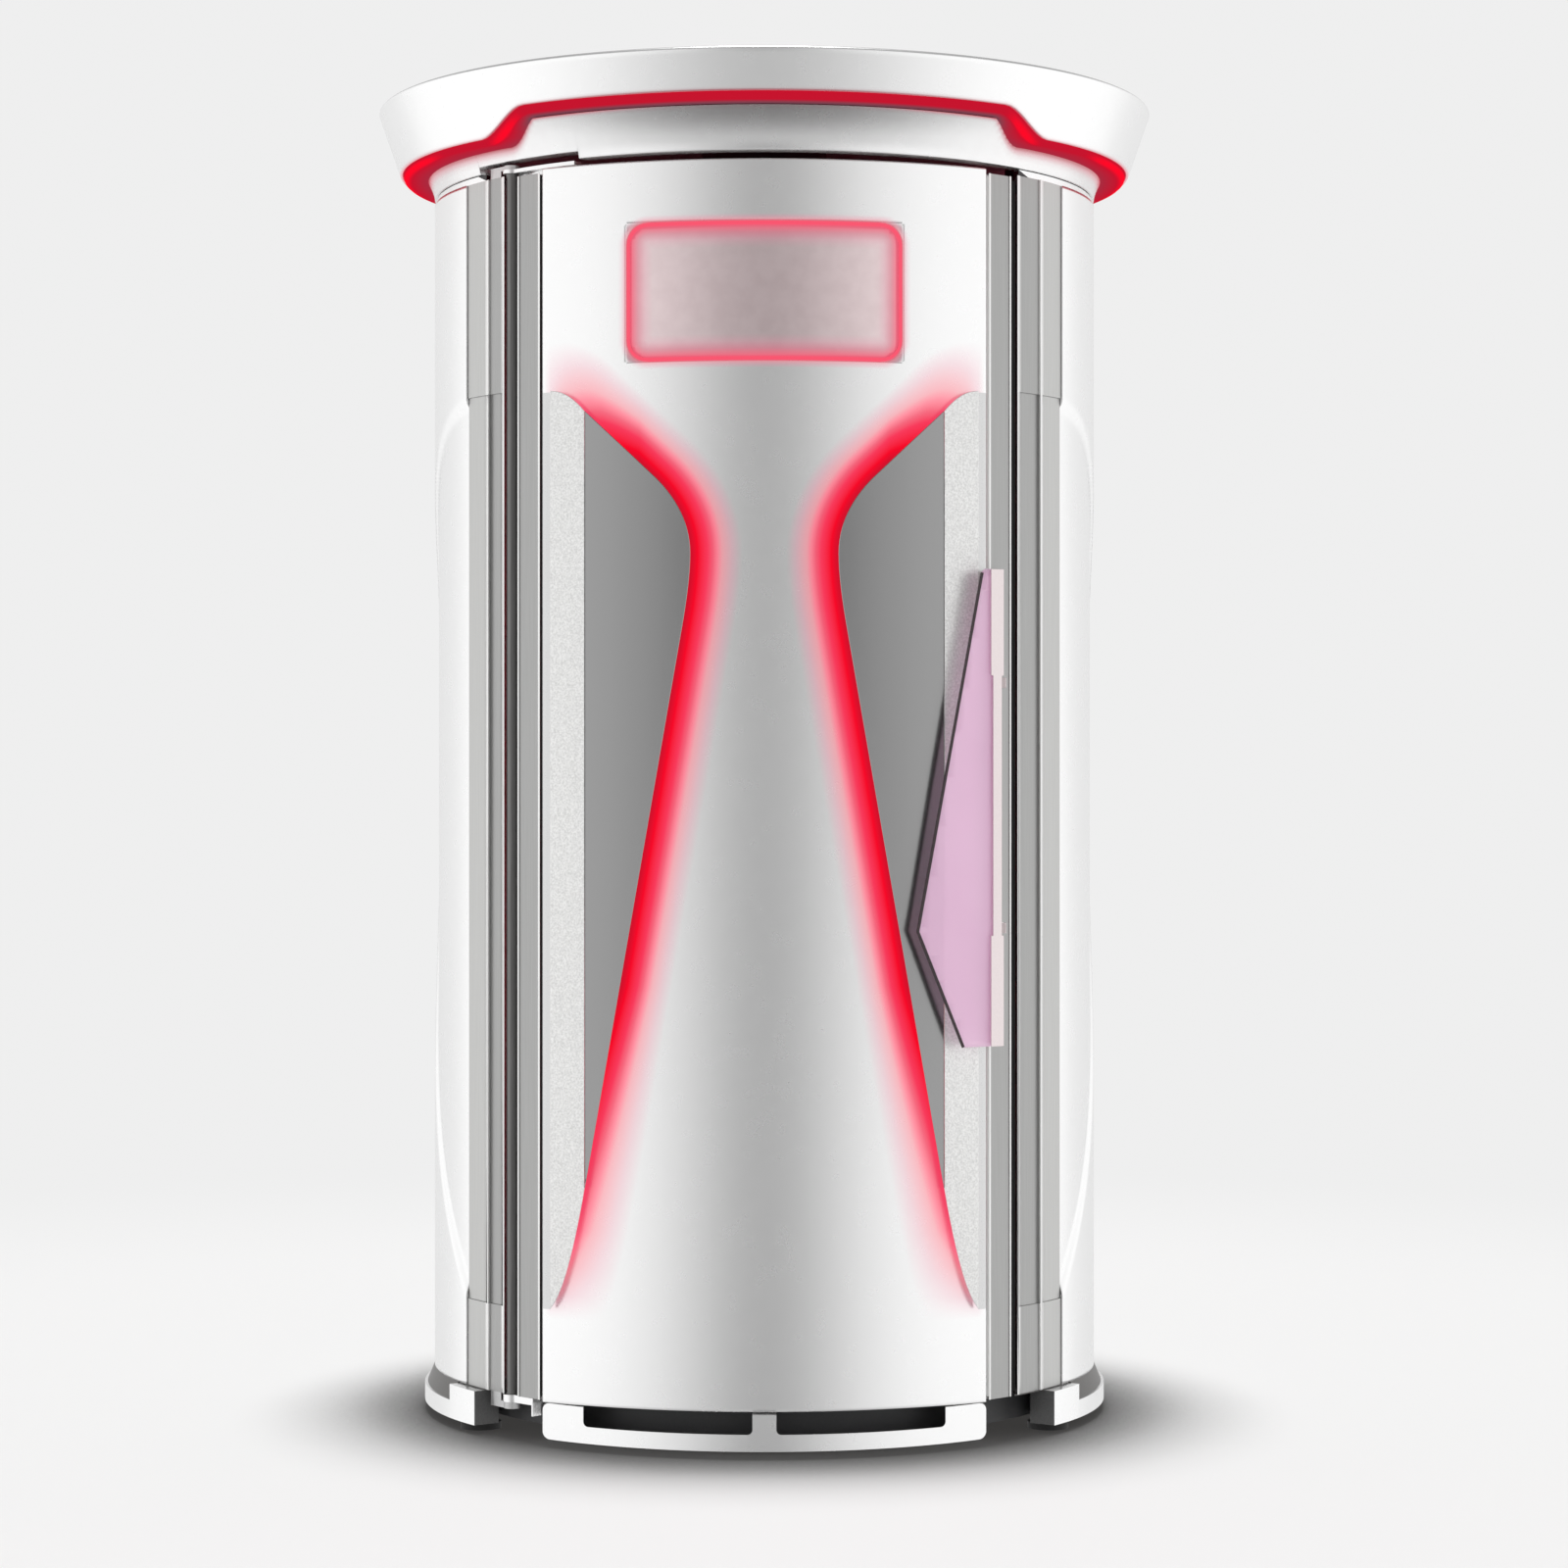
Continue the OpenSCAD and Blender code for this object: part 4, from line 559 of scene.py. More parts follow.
def crown_profile(z):
    """The crown's section (r, z) over a rim at height z: turned lip, face, rolled top and inner side."""
    top_r, top_z, roll = CROWN_TOP_R, CROWN_TOP_Z, 0.006
    inside_z, inside_gap = 2.190, 0.007
    r = crown_radius(z)
    pts = [(r - 0.005, z + 0.002), (r - 0.0042, z + 0.0006), (r - 0.002, z), (r - 0.0006, z + 0.0006)]
    near_lip = [z + h for h in (0.003, 0.006, 0.009, 0.012, 0.016)]
    face = [z + (top_z - roll - z) * t for t in np.linspace(0.36, 1, 8)]
    pts += [(crown_radius(h), h) for h in near_lip + face]
    for turn in np.radians((25, 50, 75, 90)):
        pts.append((top_r - roll + roll * math.cos(turn) - 0.0015, top_z - roll + roll * math.sin(turn)))
    pts += [(top_r - 0.014, top_z), (top_r - 0.021, top_z - 0.0008), (top_r - 0.022, top_z - 0.004)]
    return pts + [(crown_radius(inside_z) - inside_gap, inside_z)]


def build_crown():
    rows = []
    for a in np.arange(-180, 180.01, 1.0):
        rows.append([polar(r, a) + (z,) for r, z in crown_profile(rim_at(a))])
    verts, faces = grid(rows)
    ob = piece("crown_shell", verts, faces, "cabinet", M["crown"], "canopy_crown", smooth=50)
    # Painted red light of the canopy's strip on the crown's lip, fading upwards and out towards the back
    reach, lip, highest = 0.0065, 0.0015, 2.18
    x, y, z = coords(ob)
    turn = np.degrees(np.arctan2(x, -y))
    above = np.maximum(z - np.array([rim_at(a) for a in turn]), 0.0)
    above[np.hypot(x, y) < crown_radius(z) - lip] = 0.0
    near = np.where(z < highest, np.maximum(0.0, 1 - above / reach), 0.0)
    set_glow(ob, front_only(turn) * near)


def front_only(a):
    """1 round the booth's front and 0 at its back, by plan angle; the canopy's light fades out between."""
    return smoothstep(np.abs(a), 150, 100)


def fascia_radius(z):
    """The fascia leaves the body upright and leans out more and more."""
    rise = (z - FASCIA_LOW) / (FASCIA_TOP - FASCIA_LOW)
    return BODY_R + FASCIA_OUT * min(1.0, max(0.0, rise)) ** 1.6


def side_share(z):
    """0 where the rim is at its front height and 1 where it is at that of the sides."""
    return 1 - (z - RIM_Z) / (FRONT_Z - RIM_Z)


def light_low(a):
    """Height of the light body's lower edge at a plan angle: the rim's line, moved in and down."""
    inwards, least_drop, front_drop, side_drop = 0.014, 0.009, 0.012, 0.009
    z = rim_at(a)
    x = abs(crown_radius(RIM_Z) * math.sin(math.radians(a)))
    shifted = rim_height(x + inwards) if abs(a) < 90 else RIM_Z
    return min(z - least_drop, shifted - front_drop + (front_drop - side_drop) * side_share(z))


def build_canopy_light():
    """Light body in the gap below the crown: brightest at its outer edge, dim towards the fascia."""
    crown_gap, tuck, lip_gap = 0.0055, 0.010, 0.0004
    profiles, values = [], []
    angles = np.arange(-180, 180, 1.0)
    for a in angles:
        z, low = rim_at(a), light_low(a)
        r = crown_radius(z) - crown_gap
        lip_z = min(low, FASCIA_TOP + 0.0006)
        lip_r = fascia_radius(lip_z) + lip_gap
        profiles.append([(r, z + tuck), (r, z - 0.001), (r - 0.0015, low + 0.003), (r - 0.005, low),
                         (r - 0.010, low - 0.001), (r - 0.016, low - 0.001), (lip_r, lip_z),
                         (lip_r, z + tuck)])
        # The rising stretches and the turn at each side are the brightest
        slope = math.sin(math.pi * side_share(z))
        turn = float(smoothstep(abs(a), 57, 68) * smoothstep(abs(a), 112, 96))
        core = 0.79 + 0.21 * max(slope, turn)
        dim = 0.15 + 0.40 * max(slope, side_share(z))
        values += [0.7, 0.8, core, core, 0.7 * core + 0.3 * dim, (core + dim) / 2, dim, 0.1]
    verts, faces = turned(profiles, angles)
    ob = piece("canopy_light_body", verts, faces, "cabinet", M["canopy_light"],
               "canopy_light_strip", smooth=80)
    set_glow(ob, values)


def fascia_profile(low):
    """The fascia's section (r, z) over a lower edge at that height."""
    high, thick, foot_r = FASCIA_TOP, 0.004, BODY_R - 0.024
    face = low + 0.0008 + (high - low - 0.0014) * np.linspace(0, 1, 22)
    pts = [(foot_r, low), (fascia_radius(low) - 0.0008, low)]
    pts += [(fascia_radius(z), z) for z in face]
    pts.append((fascia_radius(high) - 0.0012, high))
    pts += [(fascia_radius(z) - thick, z) for z in (high, (low + high) / 2, low + thick)]
    return pts + [(foot_r, low + thick)]


def build_fascia():
    """Ring with a notch over the upper hinge arm; the canopy's light on its upper part is painted light."""
    ends = [math.degrees(math.asin(x / BODY_R)) for x in NOTCH_X]
    beside = [end + step for end in ends for step in (-0.02, 0.02)]
    angles = sorted([float(a) for a in np.arange(-180, 180, 1.0)] + beside)
    profiles = [fascia_profile(NOTCH_TOP if ends[0] < a < ends[1] else FASCIA_LOW) for a in angles]
    verts, faces = turned(profiles, angles)
    ob = piece("fascia_shell", verts, faces, "cabinet", M["fascia"], "fascia_ring", smooth=50)
    line = []
    for a in np.arange(-90, 90.1, 1.0):
        lip = min(light_low(a), FASCIA_TOP)
        line.append((fascia_radius(lip) * math.sin(math.radians(a)), lip))
    line_x, line_z = np.array(line).T
    x, y, z = coords(ob)
    turn = np.degrees(np.arctan2(x, -y))
    gap = nearest(np.column_stack([x, z]), line)[0]
    gap[z > np.interp(x, line_x, line_z)] = 0.0
    reach = 0.020 * (0.35 + 0.65 * side_share(np.array([rim_at(a) for a in turn])))
    near = np.maximum(0.0, 1 - gap / reach)
    set_glow(ob, near * front_only(turn) * (0.3 + 0.7 * smoothstep(np.abs(turn), 8, 34)))


def recess_path():
    """Border of the side panel's recess in side view (y, z): open in front, bowed towards the back."""
    edge_y = -BODY_R * math.cos(math.radians(PANEL_A)) - 0.040
    back = edge_y + 0.040 + 0.350
    low, top = RECESS_LOW, RECESS_TOP
    mid = low + (top - low) * 0.62
    ahead = -0.75
    pts = [(ahead, top), (edge_y, top)]
    pts += bezier([(edge_y, top), (edge_y + 0.120, top), (back, top - 0.090), (back, mid)], 24)
    pts += bezier([(back, mid), (back, low + (mid - low) * 0.45), (edge_y + 0.110, low + 0.120),
                   (edge_y + 0.040, low)], 30)
    return pts + [(ahead, low)]


def build_side(sign, name, node):
    """Side panel whose recess sinks in softly from its border; its upright edges are tucked in a little."""
    recess_depth, soft_width, edge_tuck = 0.007, 0.016, 0.0012
    border = recess_path()
    angles = np.concatenate([[PANEL_A, PANEL_A + 0.15], np.arange(PANEL_A + 0.5, REAR_A - 0.4, 0.5),
                             [REAR_A - 0.15, REAR_A]])
    heights = np.concatenate([[PANEL_LOW], np.arange(PANEL_LOW + 0.005, PANEL_TOP - 0.004, 0.0065),
                              [PANEL_TOP]])
    pts = np.array([(-BODY_R * math.cos(math.radians(a)), z) for a in angles for z in heights])
    way_in = np.where(inside(border, pts), nearest(pts, border)[0], 0.0)
    depth = recess_depth * smoothstep(way_in, 0.0, soft_width)
    rows = []
    for a, dips in zip(angles, depth.reshape(len(angles), len(heights))):
        tuck = edge_tuck if a in (angles[0], angles[-1]) else 0.0
        rows.append([polar(BODY_R - dip - tuck, sign * a) + (z,) for z, dip in zip(heights, dips)])
    verts, faces = grid(rows)
    ob = piece(name, verts, faces, "cabinet", M["white"], node, smooth=60)
    middle = ob.data.polygons[len(ob.data.polygons) // 2]
    wall(ob, 0.0078, middle.normal.xy.dot(middle.center.xy) > 0)


def column_outline(x_in, groove):
    """Plan outline of the right column between its ribs, and the finish of each point: 0 band, 1 rib with a
    painted highlight, 2 outer band in a paler copy of the band's finish, painted light."""
    face = BODY_R - groove
    end_a = PANEL_A - 0.05
    end_x = face * math.sin(math.radians(end_a))
    inner = BODY_R - 0.035
    inner_end = inner * math.sin(math.radians(end_a))
    pts, marks = [], []
    spans = [(BODY_R, x_in + 0.0016, x_in + 0.0046, 3, 1), (face, x_in + 0.007, 0.4525, 10, 0),
             (BODY_R, 0.4545, 0.4575, 3, 1), (face, 0.460, end_x, 12, 2), (inner, inner_end, x_in, 16, 0)]
    for r, x0, x1, n, mark in spans:
        pts += arc_points(r, x0, x1, n)
        marks += [mark] * n
    return pts, marks


def build_column(x_in, sign, name, node):
    """Front column from its inner edge x_in outwards; its bands lie deeper beside the recess."""
    verts, faces, finishes = [], [], []
    shallow, deep = 0.003, 0.005
    for z0, z1, groove in ((PANEL_LOW, RECESS_LOW, shallow), (RECESS_LOW, RECESS_TOP, deep),
                           (RECESS_TOP, PANEL_TOP, shallow)):
        pts, marks = column_outline(x_in, groove)
        append(verts, faces, prism([(sign * x, y) for x, y in pts], z0, z1))
        finishes += [1 if 1 in pair else min(pair) for pair in zip(marks, marks[1:] + marks[:1])] + [0, 0]
    piece(name, verts, faces, "cabinet", [M["column"], M["painted_highlight"], M["column_painted_light"]], node,
          bevel=0.0006, segments=1, face_mats=finishes)


# Door

# The skin's hole for the sign: half width, half height and corner
HOLE_X, HOLE_Z, HOLE_CORNER = (size + 0.0005 for size in (SIGN_W / 2, SIGN_H / 2, SIGN_CORNER))


def skin_path():
    """Plan path (x, y) of the door skin's outer face, from its left edge to its right one."""
    fillet_x = SKIN_HALF - SKIN_EDGE
    d = SKIN_R - SKIN_EDGE
    fy = SKIN_Y - math.sqrt(d * d - fillet_x * fillet_x)
    half = math.asin(fillet_x / d)
    back = -math.sqrt(BODY_R ** 2 - SKIN_HALF ** 2) - 0.0015
    right = [(SKIN_HALF, back)]
    for a in np.linspace(math.pi / 2, half, 9):
        right.append((fillet_x + SKIN_EDGE * math.sin(a), fy - SKIN_EDGE * math.cos(a)))
    arc_x = sorted(set(list(np.arange(-0.345, 0.3451, 0.005)) + [-HOLE_X, HOLE_X]))
    middle = [(x, SKIN_Y - math.sqrt(SKIN_R ** 2 - x * x)) for x in arc_x
              if abs(x) < SKIN_R * math.sin(half) - 0.001]
    left = [(-x, y) for x, y in right]
    return left + middle + right[::-1]


def skin_rows():
    """The skin's outer face with its sign window still shut, tucked in a little at its low and top edges."""
    lo, hi = SIGN_Z - HOLE_Z, SIGN_Z + HOLE_Z
    zs = [DOOR_LOW, DOOR_LOW + 0.0015] + list(np.arange(0.080, 2.066, 0.005)) + [DOOR_TOP - 0.0015, DOOR_TOP]
    zs = sorted(set([z for z in zs if min(abs(z - lo), abs(z - hi)) > 0.0015] + [lo, hi]))
    tucks = [0.0011] + [0.0] * (len(zs) - 2) + [0.0011]
    path = skin_path()
    return grid([[(x, y + tuck, z) for x, y in path] for z, tuck in zip(zs, tucks)])


def round_corner(verts, faces, sx, sz):
    """Fills a corner of the sign's hole up to its rounding."""
    r, corner = HOLE_CORNER, len(verts)
    verts.append(on_band(SKIN_R, sx * HOLE_X, SIGN_Z + sz * HOLE_Z))
    cx, cz = sx * (HOLE_X - r), SIGN_Z + sz * (HOLE_Z - r)
    for t in np.linspace(0, math.pi / 2, 9):
        verts.append(on_band(SKIN_R, cx + sx * r * math.sin(t), cz + sz * r * math.cos(t)))
    for a in range(corner + 1, len(verts) - 1):
        faces.append((corner, a, a + 1) if sx * sz > 0 else (corner, a + 1, a))


def skin_glow(x, z):
    """Painted red light on the skin: beside the wings, fading out low down and towards the door's edges, and
    a little round the sign."""
    across = np.abs(x)
    reach, sign_reach, waist_top = 0.082, 0.012, 1.35
    near = nearest(np.column_stack([across, z]), WING[2:])[0]
    low = np.interp(z, (0.21, 0.247, 0.294, 0.356, 0.45, 0.575, 0.75), (0, 0.25, 0.42, 0.55, 0.64, 0.78, 1))
    high = np.interp(across, (0.20, 0.26, 0.29, 0.325, 0.345, 0.356), (1, 0.72, 0.54, 0.34, 0.22, 0))
    edge = np.where(z > waist_top, high, smoothstep(across, 0.357, 0.346))
    past_x = np.maximum(across - (SIGN_W / 2 - SIGN_CORNER), 0)
    past_z = np.maximum(np.abs(z - SIGN_Z) - (SIGN_H / 2 - SIGN_CORNER), 0)
    from_sign = np.maximum(np.hypot(past_x, past_z) - SIGN_CORNER, 0)
    return np.maximum((1 - np.clip(near / reach, 0, 1)) * low * edge,
                      0.42 * (1 - np.clip(from_sign / sign_reach, 0, 1)))


def build_skin():
    verts, faces = skin_rows()
    middle = [np.mean([verts[i] for i in face], axis=0) for face in faces]
    faces = [face for face, (x, y, z) in zip(faces, middle)
             if not (abs(x) < HOLE_X and abs(z - SIGN_Z) < HOLE_Z and y < -0.3)]
    for sx in (-1, 1):
        for sz in (-1, 1):
            round_corner(verts, faces, sx, sz)
    # Beside the wings, the rolled edge gets painted shade, darker than the face
    edge_x = 0.3465
    middle = [np.mean([verts[i] for i in face], axis=0) for face in faces]
    finishes = [int(abs(x) > edge_x and WING[-1][1] < z < WING[0][1]) for x, _, z in middle]
    ob = piece("door_shell", verts, faces, "door", [M["skin"], M["skin_edge_shade"]], "door_skin",
               smooth=60, face_mats=finishes)
    # Painted red light beside the wings and round the sign
    x, _, z = coords(ob)
    set_glow(ob, skin_glow(x, z))
    front = [p for p in ob.data.polygons if abs(p.center.x) < 0.02]
    wall(ob, 0.004, front[len(front) // 2].normal.y < 0)


def build_wings():
    """Each wing is a dark plate up to the seam and a speckled strip beyond it."""
    seam, seam_gap, half_way = 0.288, 0.0004, 1.0
    top_z, low_z = crossing(WING, seam, True), crossing(WING, seam, False)
    dark = [(seam, top_z)] + [p for p in WING if p[0] < seam] + [(seam, low_z)]
    outer = [p for p in WING if p[0] > seam]
    pale = [(seam + seam_gap, low_z)] + [p for p in outer if p[1] < half_way]
    pale += [p for p in outer if p[1] > half_way] + [(seam + seam_gap, top_z)]
    for sign, side in ((-1, "left"), (1, "right")):
        face, edge = [[(sign * x, z) for x, z in dense(outline, 0.02)] for outline in (dark, pale)]
        band_plate("wing_face_" + side, face, M["wing"], "wing_" + side)
        band_plate("wing_edge_" + side, edge, M["speckled"], "wing_edge_strips")


def wing_radius(x):
    """The wing's face falls slightly away towards its inner edge."""
    ramp_from, ramp_to, slope = 0.28, 0.22, 0.030
    t = min(max((ramp_from - x) / (ramp_from - ramp_to), 0.0), 1.0)
    fall = slope * ((ramp_from - ramp_to) * t * t / 2 + max(ramp_to - x, 0.0))
    return WING_R + WING_T - fall


def inset(outline, gap):
    """The outline moved inwards by a gap, point by point."""
    pts = np.array(outline)
    area = np.sum(pts[:, 0] * np.roll(pts[:, 1], -1) - np.roll(pts[:, 0], -1) * pts[:, 1])
    ahead, behind = np.roll(pts, -1, axis=0) - pts, pts - np.roll(pts, 1, axis=0)
    out = []
    for p, u, v in zip(pts, ahead, behind):
        u, v = u / max(np.linalg.norm(u), 1e-9), v / max(np.linalg.norm(v), 1e-9)
        n = np.array([-(u + v)[1], (u + v)[0]]) * (1 if area > 0 else -1)
        n /= max(np.linalg.norm(n), 1e-9)
        out.append(tuple(p + n * gap / max(abs(float(np.dot([-u[1], u[0]], n))), 0.5)))
    return out


def band_plate(name, outline, mat, node):
    """A plate of the wing's thickness with a chamfered front edge, on the door's curve."""
    spacing, chamfer = (0.012, 0.030), 0.0009

    def carried(points, drop):
        return [on_band(wing_radius(abs(x)) - drop, x, z) for x, z in points]

    verts, faces = [], []
    face = inset(outline, chamfer)
    front, triangles = filled(face, spacing)
    append(verts, faces, (carried(front, 0.0), triangles))
    rings = [(face, 0.0), (outline, chamfer), (outline, WING_T)]
    n, first = len(outline), len(verts)
    for points, drop in rings:
        verts += carried(points, drop)
    for a in (first, first + n):
        faces += ring(a, a + n, n)
    back, triangles = filled(outline, spacing)
    append(verts, faces, (carried(back, WING_T), triangles))
    piece(name, verts, faces, "door", mat, node, smooth=30)


def crossing(path, x, upper):
    """Height at which the path's upper or lower part crosses x."""
    for (x0, z0), (x1, z1) in zip(path[:-1], path[1:]):
        if (x0 - x) * (x1 - x) <= 0 and x0 != x1 and ((z0 > 1.0) == upper):
            return z0 + (z1 - z0) * (x - x0) / (x1 - x0)
    raise ValueError("the outline doesn't cross that x")


def dense(outline, step):
    out = []
    for p, q in zip(outline, outline[1:] + outline[:1]):
        n = max(1, int(math.dist(p, q) / step))
        out += [(p[0] + (q[0] - p[0]) * i / n, p[1] + (q[1] - p[1]) * i / n) for i in range(n)]
    return out


def sign_outline(gap):
    """The sign's rounded outline, moved inwards by a gap, about its own centre."""
    r = SIGN_CORNER - gap
    cx, cz = SIGN_W / 2 - SIGN_CORNER, SIGN_H / 2 - SIGN_CORNER
    out = []
    for sx, sz, start in ((1, 1, 0), (-1, 1, 90), (-1, -1, 180), (1, -1, 270)):
        for t in np.radians(np.linspace(start, start + 90, 8)):
            out.append((sx * cx + r * math.cos(t), sz * cz + r * math.sin(t)))
    return out


def build_sign():
    """A lit border that stands a little proud of the skin, and the bare pane within it, whose edge carries
    the border's light as painted light.
    """
    border, pane_gap, glow_reach = 0.0055, 0.0003, 0.034
    outer = dense(sign_outline(0.0), 0.008)
    inner = sign_outline(border)
    inner = nearest(outer, inner + inner[:1])[1]
    back, shoulder, front = SKIN_R - 0.004, SKIN_R + 0.0006, SKIN_R + 0.0013
    verts, n = [], len(outer)
    for outline, radius in ((outer, back), (outer, shoulder), (outer, front),
                            (inner, front), (inner, shoulder), (inner, back)):
        verts += [on_band(radius, x, SIGN_Z + z) for x, z in outline]
    faces = []
    for a in range(0, 6 * n, n):
        faces += ring(a, (a + n) % (6 * n), n)
    piece("sign_border", verts, faces, "door", M["sign_line"], "sign_light_frame", smooth=50)
    rim = dense(sign_outline(border + pane_gap), 0.012)
    flat, triangles = filled(rim, (0.008, 0.008))
    verts = [on_band(SKIN_R, x, SIGN_Z + z) for x, z in flat]
    ob = piece("sign_face_painted_glow", verts, triangles, "door", M["sign"], "sign_panel")
    # Painted light from the border on the pane, fading inwards
    x, _, z = coords(ob)
    from_rim = nearest(np.column_stack([x, z - SIGN_Z]), rim + rim[:1])[0]
    set_glow(ob, 1 - np.clip(from_rim / glow_reach, 0, 1))
    wall(ob, 0.0035, ob.data.polygons[0].normal.y < 0)


def build_stiles():
    """Two bars beside the skin, each a groove between two ribs with a painted highlight."""
    outer, groove, inner = BODY_R, BODY_R - 0.0018, BODY_R - 0.036
    verts, faces, finishes = [], [], []
    for sign in (-1, 1):
        pts, bright = [], []
        for r, x0, x1, n, mark in ((outer, 0.364, 0.3675, 3, 1), (groove, 0.3685, 0.3990, 8, 0),
                                   (outer, 0.4000, 0.4028, 3, 1), (inner, 0.403, 0.364, 8, 0)):
            pts += [(sign * x, y) for x, y in arc_points(r, x0, x1, n)]
            bright += [mark] * n
        append(verts, faces, prism(pts, DOOR_LOW, STILE_TOP))
        finishes += [min(pair) for pair in zip(bright, bright[1:] + bright[:1])] + [0, 0]
    piece("door_stile_bars", verts, faces, "door", [M["column"], M["painted_highlight"]], "door_stiles",
          bevel=0.0005, segments=1, face_mats=finishes)


def boxes(name, spans, mat, node=()):
    verts, faces = [], []
    for (x0, x1), (y0, y1), (z0, z1) in spans:
        append(verts, faces, prism([(x0, y0), (x1, y0), (x1, y1), (x0, y1)], z0, z1))
    piece(name, verts, faces, "door", mat, node, bevel=0.0004, segments=1)


def build_seals():
    """Rubber in the gaps beside the right stile, at the hinge and beside the skin, and a painted highlight
    strip.
    """
    z = (DOOR_LOW + 0.006, STILE_TOP - 0.004)
    spans = [((0.4034, 0.4108), (-0.384, -0.345), z), ((-0.4095, -0.4035), (-0.3525, -0.3465), z)]
    beside = (0.3598, 0.3636)
    spans.append(((-beside[1], -beside[0]), (-0.436, -0.428), z))
    boxes("door_seal_lips", spans, M["rubber"], "door_seals")
    # A bright strip in the gap beside the skin's right edge, a painted highlight
    boxes("door_edge_highlight", [(beside, (-0.4395, -0.431), z)], M["painted_highlight"])


def build_handle_plate():
    """Clear plate that points at the wing's waist, with a dark edge along its two free sides."""
    slot_x, tip = HANDLE_X - 0.002, (0.244, 0.838)
    top, low = (HANDLE_X - 0.025, HANDLE_TOP - 0.006), (HANDLE_X - 0.056, HANDLE_LOW)
    outline = [(slot_x, HANDLE_LOW), (slot_x, HANDLE_TOP), (HANDLE_X - 0.019, HANDLE_TOP), top, tip, low]
    flat, triangles = filled(dense(outline, 0.012), (0.014, 0.02))
    verts = [on_band(HANDLE_R + HANDLE_T, x, z) for x, z in flat]
    ob = piece("handle_sail", verts, triangles, "door", M["pink"], "handle_plate")
    wall(ob, HANDLE_T - 0.0004, ob.data.polygons[0].normal.y < 0)
    line = dense([top, tip, low], 0.02)
    line = line[:line.index(low) + 1]
    half_x, half_z, proud = 0.0028 * 0.9, 0.0028, 0.0002
    verts, faces = [], []
    for i, (x, z) in enumerate(line):
        a, b = line[max(i - 1, 0)], line[min(i + 1, len(line) - 1)]
        nx, nz = -(b[1] - a[1]) / math.dist(a, b), (b[0] - a[0]) / math.dist(a, b)
        for side, depth in ((-1, -proud), (1, -proud), (1, HANDLE_T + proud), (-1, HANDLE_T + proud)):
            verts.append(on_band(HANDLE_R + depth, x + side * nx * half_x, z + side * nz * half_z))
    for i in range(0, len(verts) - 4, 4):
        faces += ring(i, i + 4, 4)
    faces += [(0, 1, 2, 3), tuple(len(verts) - 4 + k for k in (3, 2, 1, 0))]
    piece("handle_sail_edge", verts, faces, "door", M["pink_edge"], bevel=0.0003, segments=1)


# These nodes keep their own shape and get a finish
FINISH = {
    "dark_steel": ("base_frame", "top_frame", "fan_housing"),
    "pan": ("base_pan",),
    "rubber": ("leveling_feet",),
    "mat": ("floor_mat",),
    "white": ("rear_service_panel",),
    "inner": ("floor_deck", "inner_cover_left", "inner_cover_right", "canopy_roof", "ceiling_panel",
              "cabin_lampholders", "door_rails", "door_lampholders"),
    "stainless": ("panel_screws", "frame_posts", "grab_handles", "fan_guard", "hinge_pins"),
    "black": ("fan_motor", "fan_rotor", "power_inlet"),
    "bright": ("cabin_reflectors", "door_reflector"),
    "lamp": ("cabin_lamp_tubes", "door_lamp_tubes"),
    "clear": ("cabin_guards", "door_guard"),
    "case": ("lamp_drivers", "catch_magnets"),
    "stop": ("main_switch", "emergency_stop"),
    "bracket": ("control_panel",),
    "display": ("control_display",),
    "green": ("start_button",),
    "grey_button": ("timer_button",),
    "red_deep": ("wing_light_strips",),
    "tube": ("hinge_tube",),
}
for key, nodes in FINISH.items():
    for node in nodes:
        wear(NODES[node].data, M[key])

# The top frame's rim is painted, but for its front, which stays dark over the door
DARK_FROM, DARK_TO, RIM_FROM = -55.4, 49.0, 0.55
top_frame = NODES["top_frame"].data
top_frame.materials.append(M["white"])
for poly in top_frame.polygons:
    x, y, _ = poly.center
    upright = abs(poly.normal.z) < 0.3 and math.hypot(x, y) > RIM_FROM
    if upright and not DARK_FROM < math.degrees(math.atan2(x, -y)) < DARK_TO:
        poly.material_index = 1

build_crown()
build_canopy_light()
build_fascia()
build_side(1, "side_shell_right", "side_panel_right")
build_side(-1, "side_shell_left", "side_panel_left")
build_column(0.412, 1, "column_right_bar", "front_column_right")
build_column(0.4245, -1, "column_left_bar", "front_column_left")
build_skin()
build_wings()
build_sign()
build_stiles()
build_seals()
build_handle_plate()
# The skirt's end faces, which look at each other, get painted shade, and so does the upper bracket's top
rounded("base_skirt", [M["white"], M["shade"]], 0.002, 3,
        pick=lambda n, c: int(n.x * c.x < -0.05 and c.y < 0 and abs(n.z) < 0.7))
rounded("toe_grille", M["white"], 0.002, 3)
# The upper bracket's top gets the dark steel as painted shade
rounded("hinge_brackets", [M["bracket"], M["dark_steel"]], 0.0012,
        pick=lambda n, c: int(n.z > 0.5 and c.z > 2.070))
rounded("hinge_arms", M["white"], 0.0016, 3)
rounded("handle_bar", M["handle"], 0.0014, 3)


# Floor, light and camera

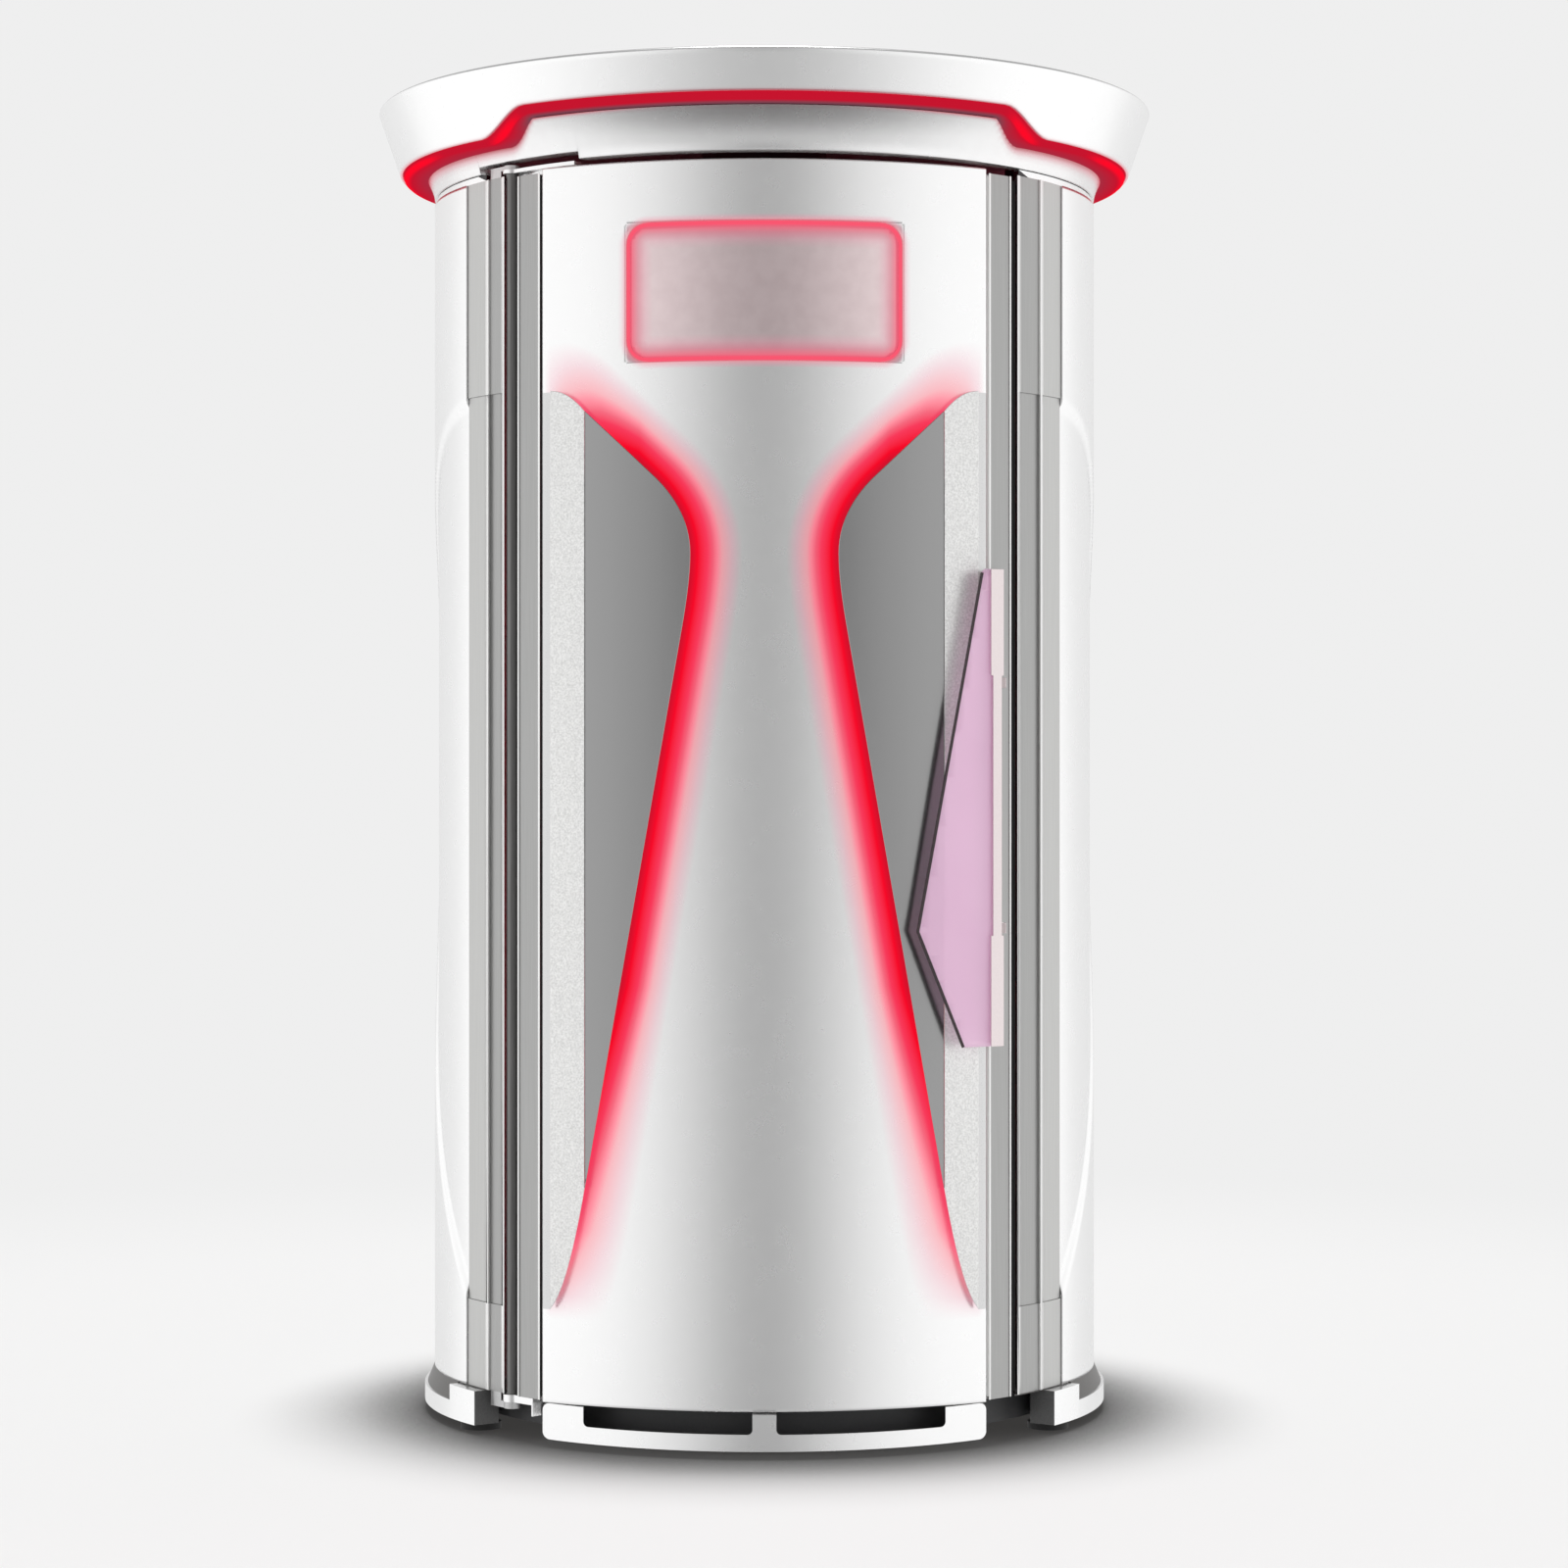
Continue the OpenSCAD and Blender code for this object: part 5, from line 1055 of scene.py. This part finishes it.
def stage_floor():
    """Paper floor, darker the less open sky a spot has, that fades into the backdrop. The mirrors see through
    it, so that they show the studio round the booth."""
    mat, tree, bsdf = new_tree("floor_paper")
    links = tree.links
    shade = add(tree, "AmbientOcclusion", samples=12)
    put(shade, Distance=0.32)
    paper_tint, lift = 0.79, 0.04
    # Painted contact shadow: the paper darkens with the occlusion round the booth
    contact = [(0.0, 0.10), (0.5, 0.15), (0.62, 0.27), (0.73, 0.52), (0.82, 0.79), (0.94, 0.96), (1.0, 1.0)]
    tint = ramp(tree, shade.outputs["AO"], [(open_share, grey(v * paper_tint)) for open_share, v in contact])
    put(bsdf, Base_Color=tint, Roughness=0.9, Specular_IOR_Level=0.0)
    put(bsdf, Emission_Color=(1.0, 0.97, 0.94, 1), Emission_Strength=lift)
    length = add(tree, "VectorMath", operation="LENGTH")
    links.new(add(tree, "TexCoord").outputs["Object"], length.inputs[0])
    near, far = 1.9, 4.2
    back = add(tree, "Emission")
    put(back, Color=grey(BACKDROP) + (1,))
    paper, final = add(tree, "MixShader"), add(tree, "MixShader")
    put(paper, Fac=range_of(tree, length.outputs["Value"], near, far))
    links.new(bsdf.outputs[0], paper.inputs[1])
    links.new(back.outputs[0], paper.inputs[2])
    put(final, Fac=add(tree, "LightPath").outputs["Is Glossy Ray"])
    links.new(paper.outputs[0], final.inputs[1])
    links.new(add(tree, "BsdfTransparent").outputs[0], final.inputs[2])
    put(tree.nodes["Material Output"], Surface=final.outputs[0])
    size = 4.5
    mesh = bpy.data.meshes.new("floor")
    mesh.from_pydata([(-size, -size, 0), (size, -size, 0), (size, size, 0), (-size, size, 0)], [],
                     [(0, 1, 2, 3)])
    mesh.materials.append(mat)
    placed("floor", mesh)


# Level of the studio's walls by angle from its front, in degrees
STUDIO = [(0, 0.37), (10, 0.50), (20, 0.74), (30, 0.97), (40, 1.12), (52, 1.23), (75, 1.25), (108, 1.25),
          (126, 1.20), (136, 0.95), (155, 0.88), (180, 0.82)]
# The same for the studio's floor, the share of it that is left straight below, and the level overhead
GROUND = [(0, 0.56), (26, 0.64), (53, 0.90), (80, 1.20), (110, 1.25), (126, 1.18), (136, 0.86), (180, 0.78)]
UNDER = 0.10
SKY = 0.34


def world():
    """What the object mirrors: walls and floor by angle, a dim sky and, for the lens, the plain backdrop."""
    w = bpy.data.worlds.new("studio")
    bpy.context.scene.world = w
    w.cycles.sampling_method = "NONE"
    w.use_nodes = True
    tree = w.node_tree
    links = tree.links
    path = add(tree, "LightPath")
    split, flat = add(tree, "SeparateXYZ"), add(tree, "CombineXYZ")
    unit, level = add(tree, "VectorMath", operation="NORMALIZE"), add(tree, "SeparateXYZ")
    links.new(add(tree, "TexCoord").outputs["Generated"], split.inputs[0])
    put(flat, X=split.outputs["X"], Y=split.outputs["Y"])
    links.new(flat.outputs[0], unit.inputs[0])
    links.new(unit.outputs[0], level.inputs[0])
    turn = range_of(tree, level.outputs["Y"], -1.0, 1.0, soft=False)
    height = split.outputs["Z"]

    def round_wall(levels):
        return ramp(tree, turn, [((1 - math.cos(math.radians(a))) / 2, grey(v)) for a, v in levels])

    below = mix(tree, range_of(tree, height, -0.60, -1.0), grey(1.0), grey(UNDER))
    ground = add(tree, "VectorMath", operation="MULTIPLY")
    links.new(round_wall(GROUND), ground.inputs[0])
    links.new(below, ground.inputs[1])
    walls = mix(tree, range_of(tree, height, -0.25, -0.55), round_wall(STUDIO), ground.outputs[0])
    sky = mix(tree, range_of(tree, height, 0.22, 0.62), walls, grey(SKY))
    plain = add(tree, "Math", operation="MAXIMUM")
    links.new(path.outputs["Is Camera Ray"], plain.inputs[0])
    links.new(path.outputs["Is Transmission Ray"], plain.inputs[1])
    put(tree.nodes["Background"], Color=mix(tree, plain.outputs[0], sky, grey(BACKDROP)))


stage_floor()
world()
DISTANCE, EYE_HEIGHT = 6.612, 1.073
camera = placed("camera", configured(bpy.data.cameras.new("camera"), sensor_width=36.0, lens=87.4,
                                     shift_x=0.0125))
configured(camera, location=(0, -DISTANCE, EYE_HEIGHT), rotation_euler=(math.radians(90), 0, 0))
bpy.context.scene.camera = camera
sun = configured(bpy.data.lights.new("overhead", "SUN"), energy=2.0, angle=math.radians(13))
placed("overhead", sun).rotation_euler = (math.radians(-2.5), 0, 0)
bpy.context.scene.view_settings.view_transform = "Standard"
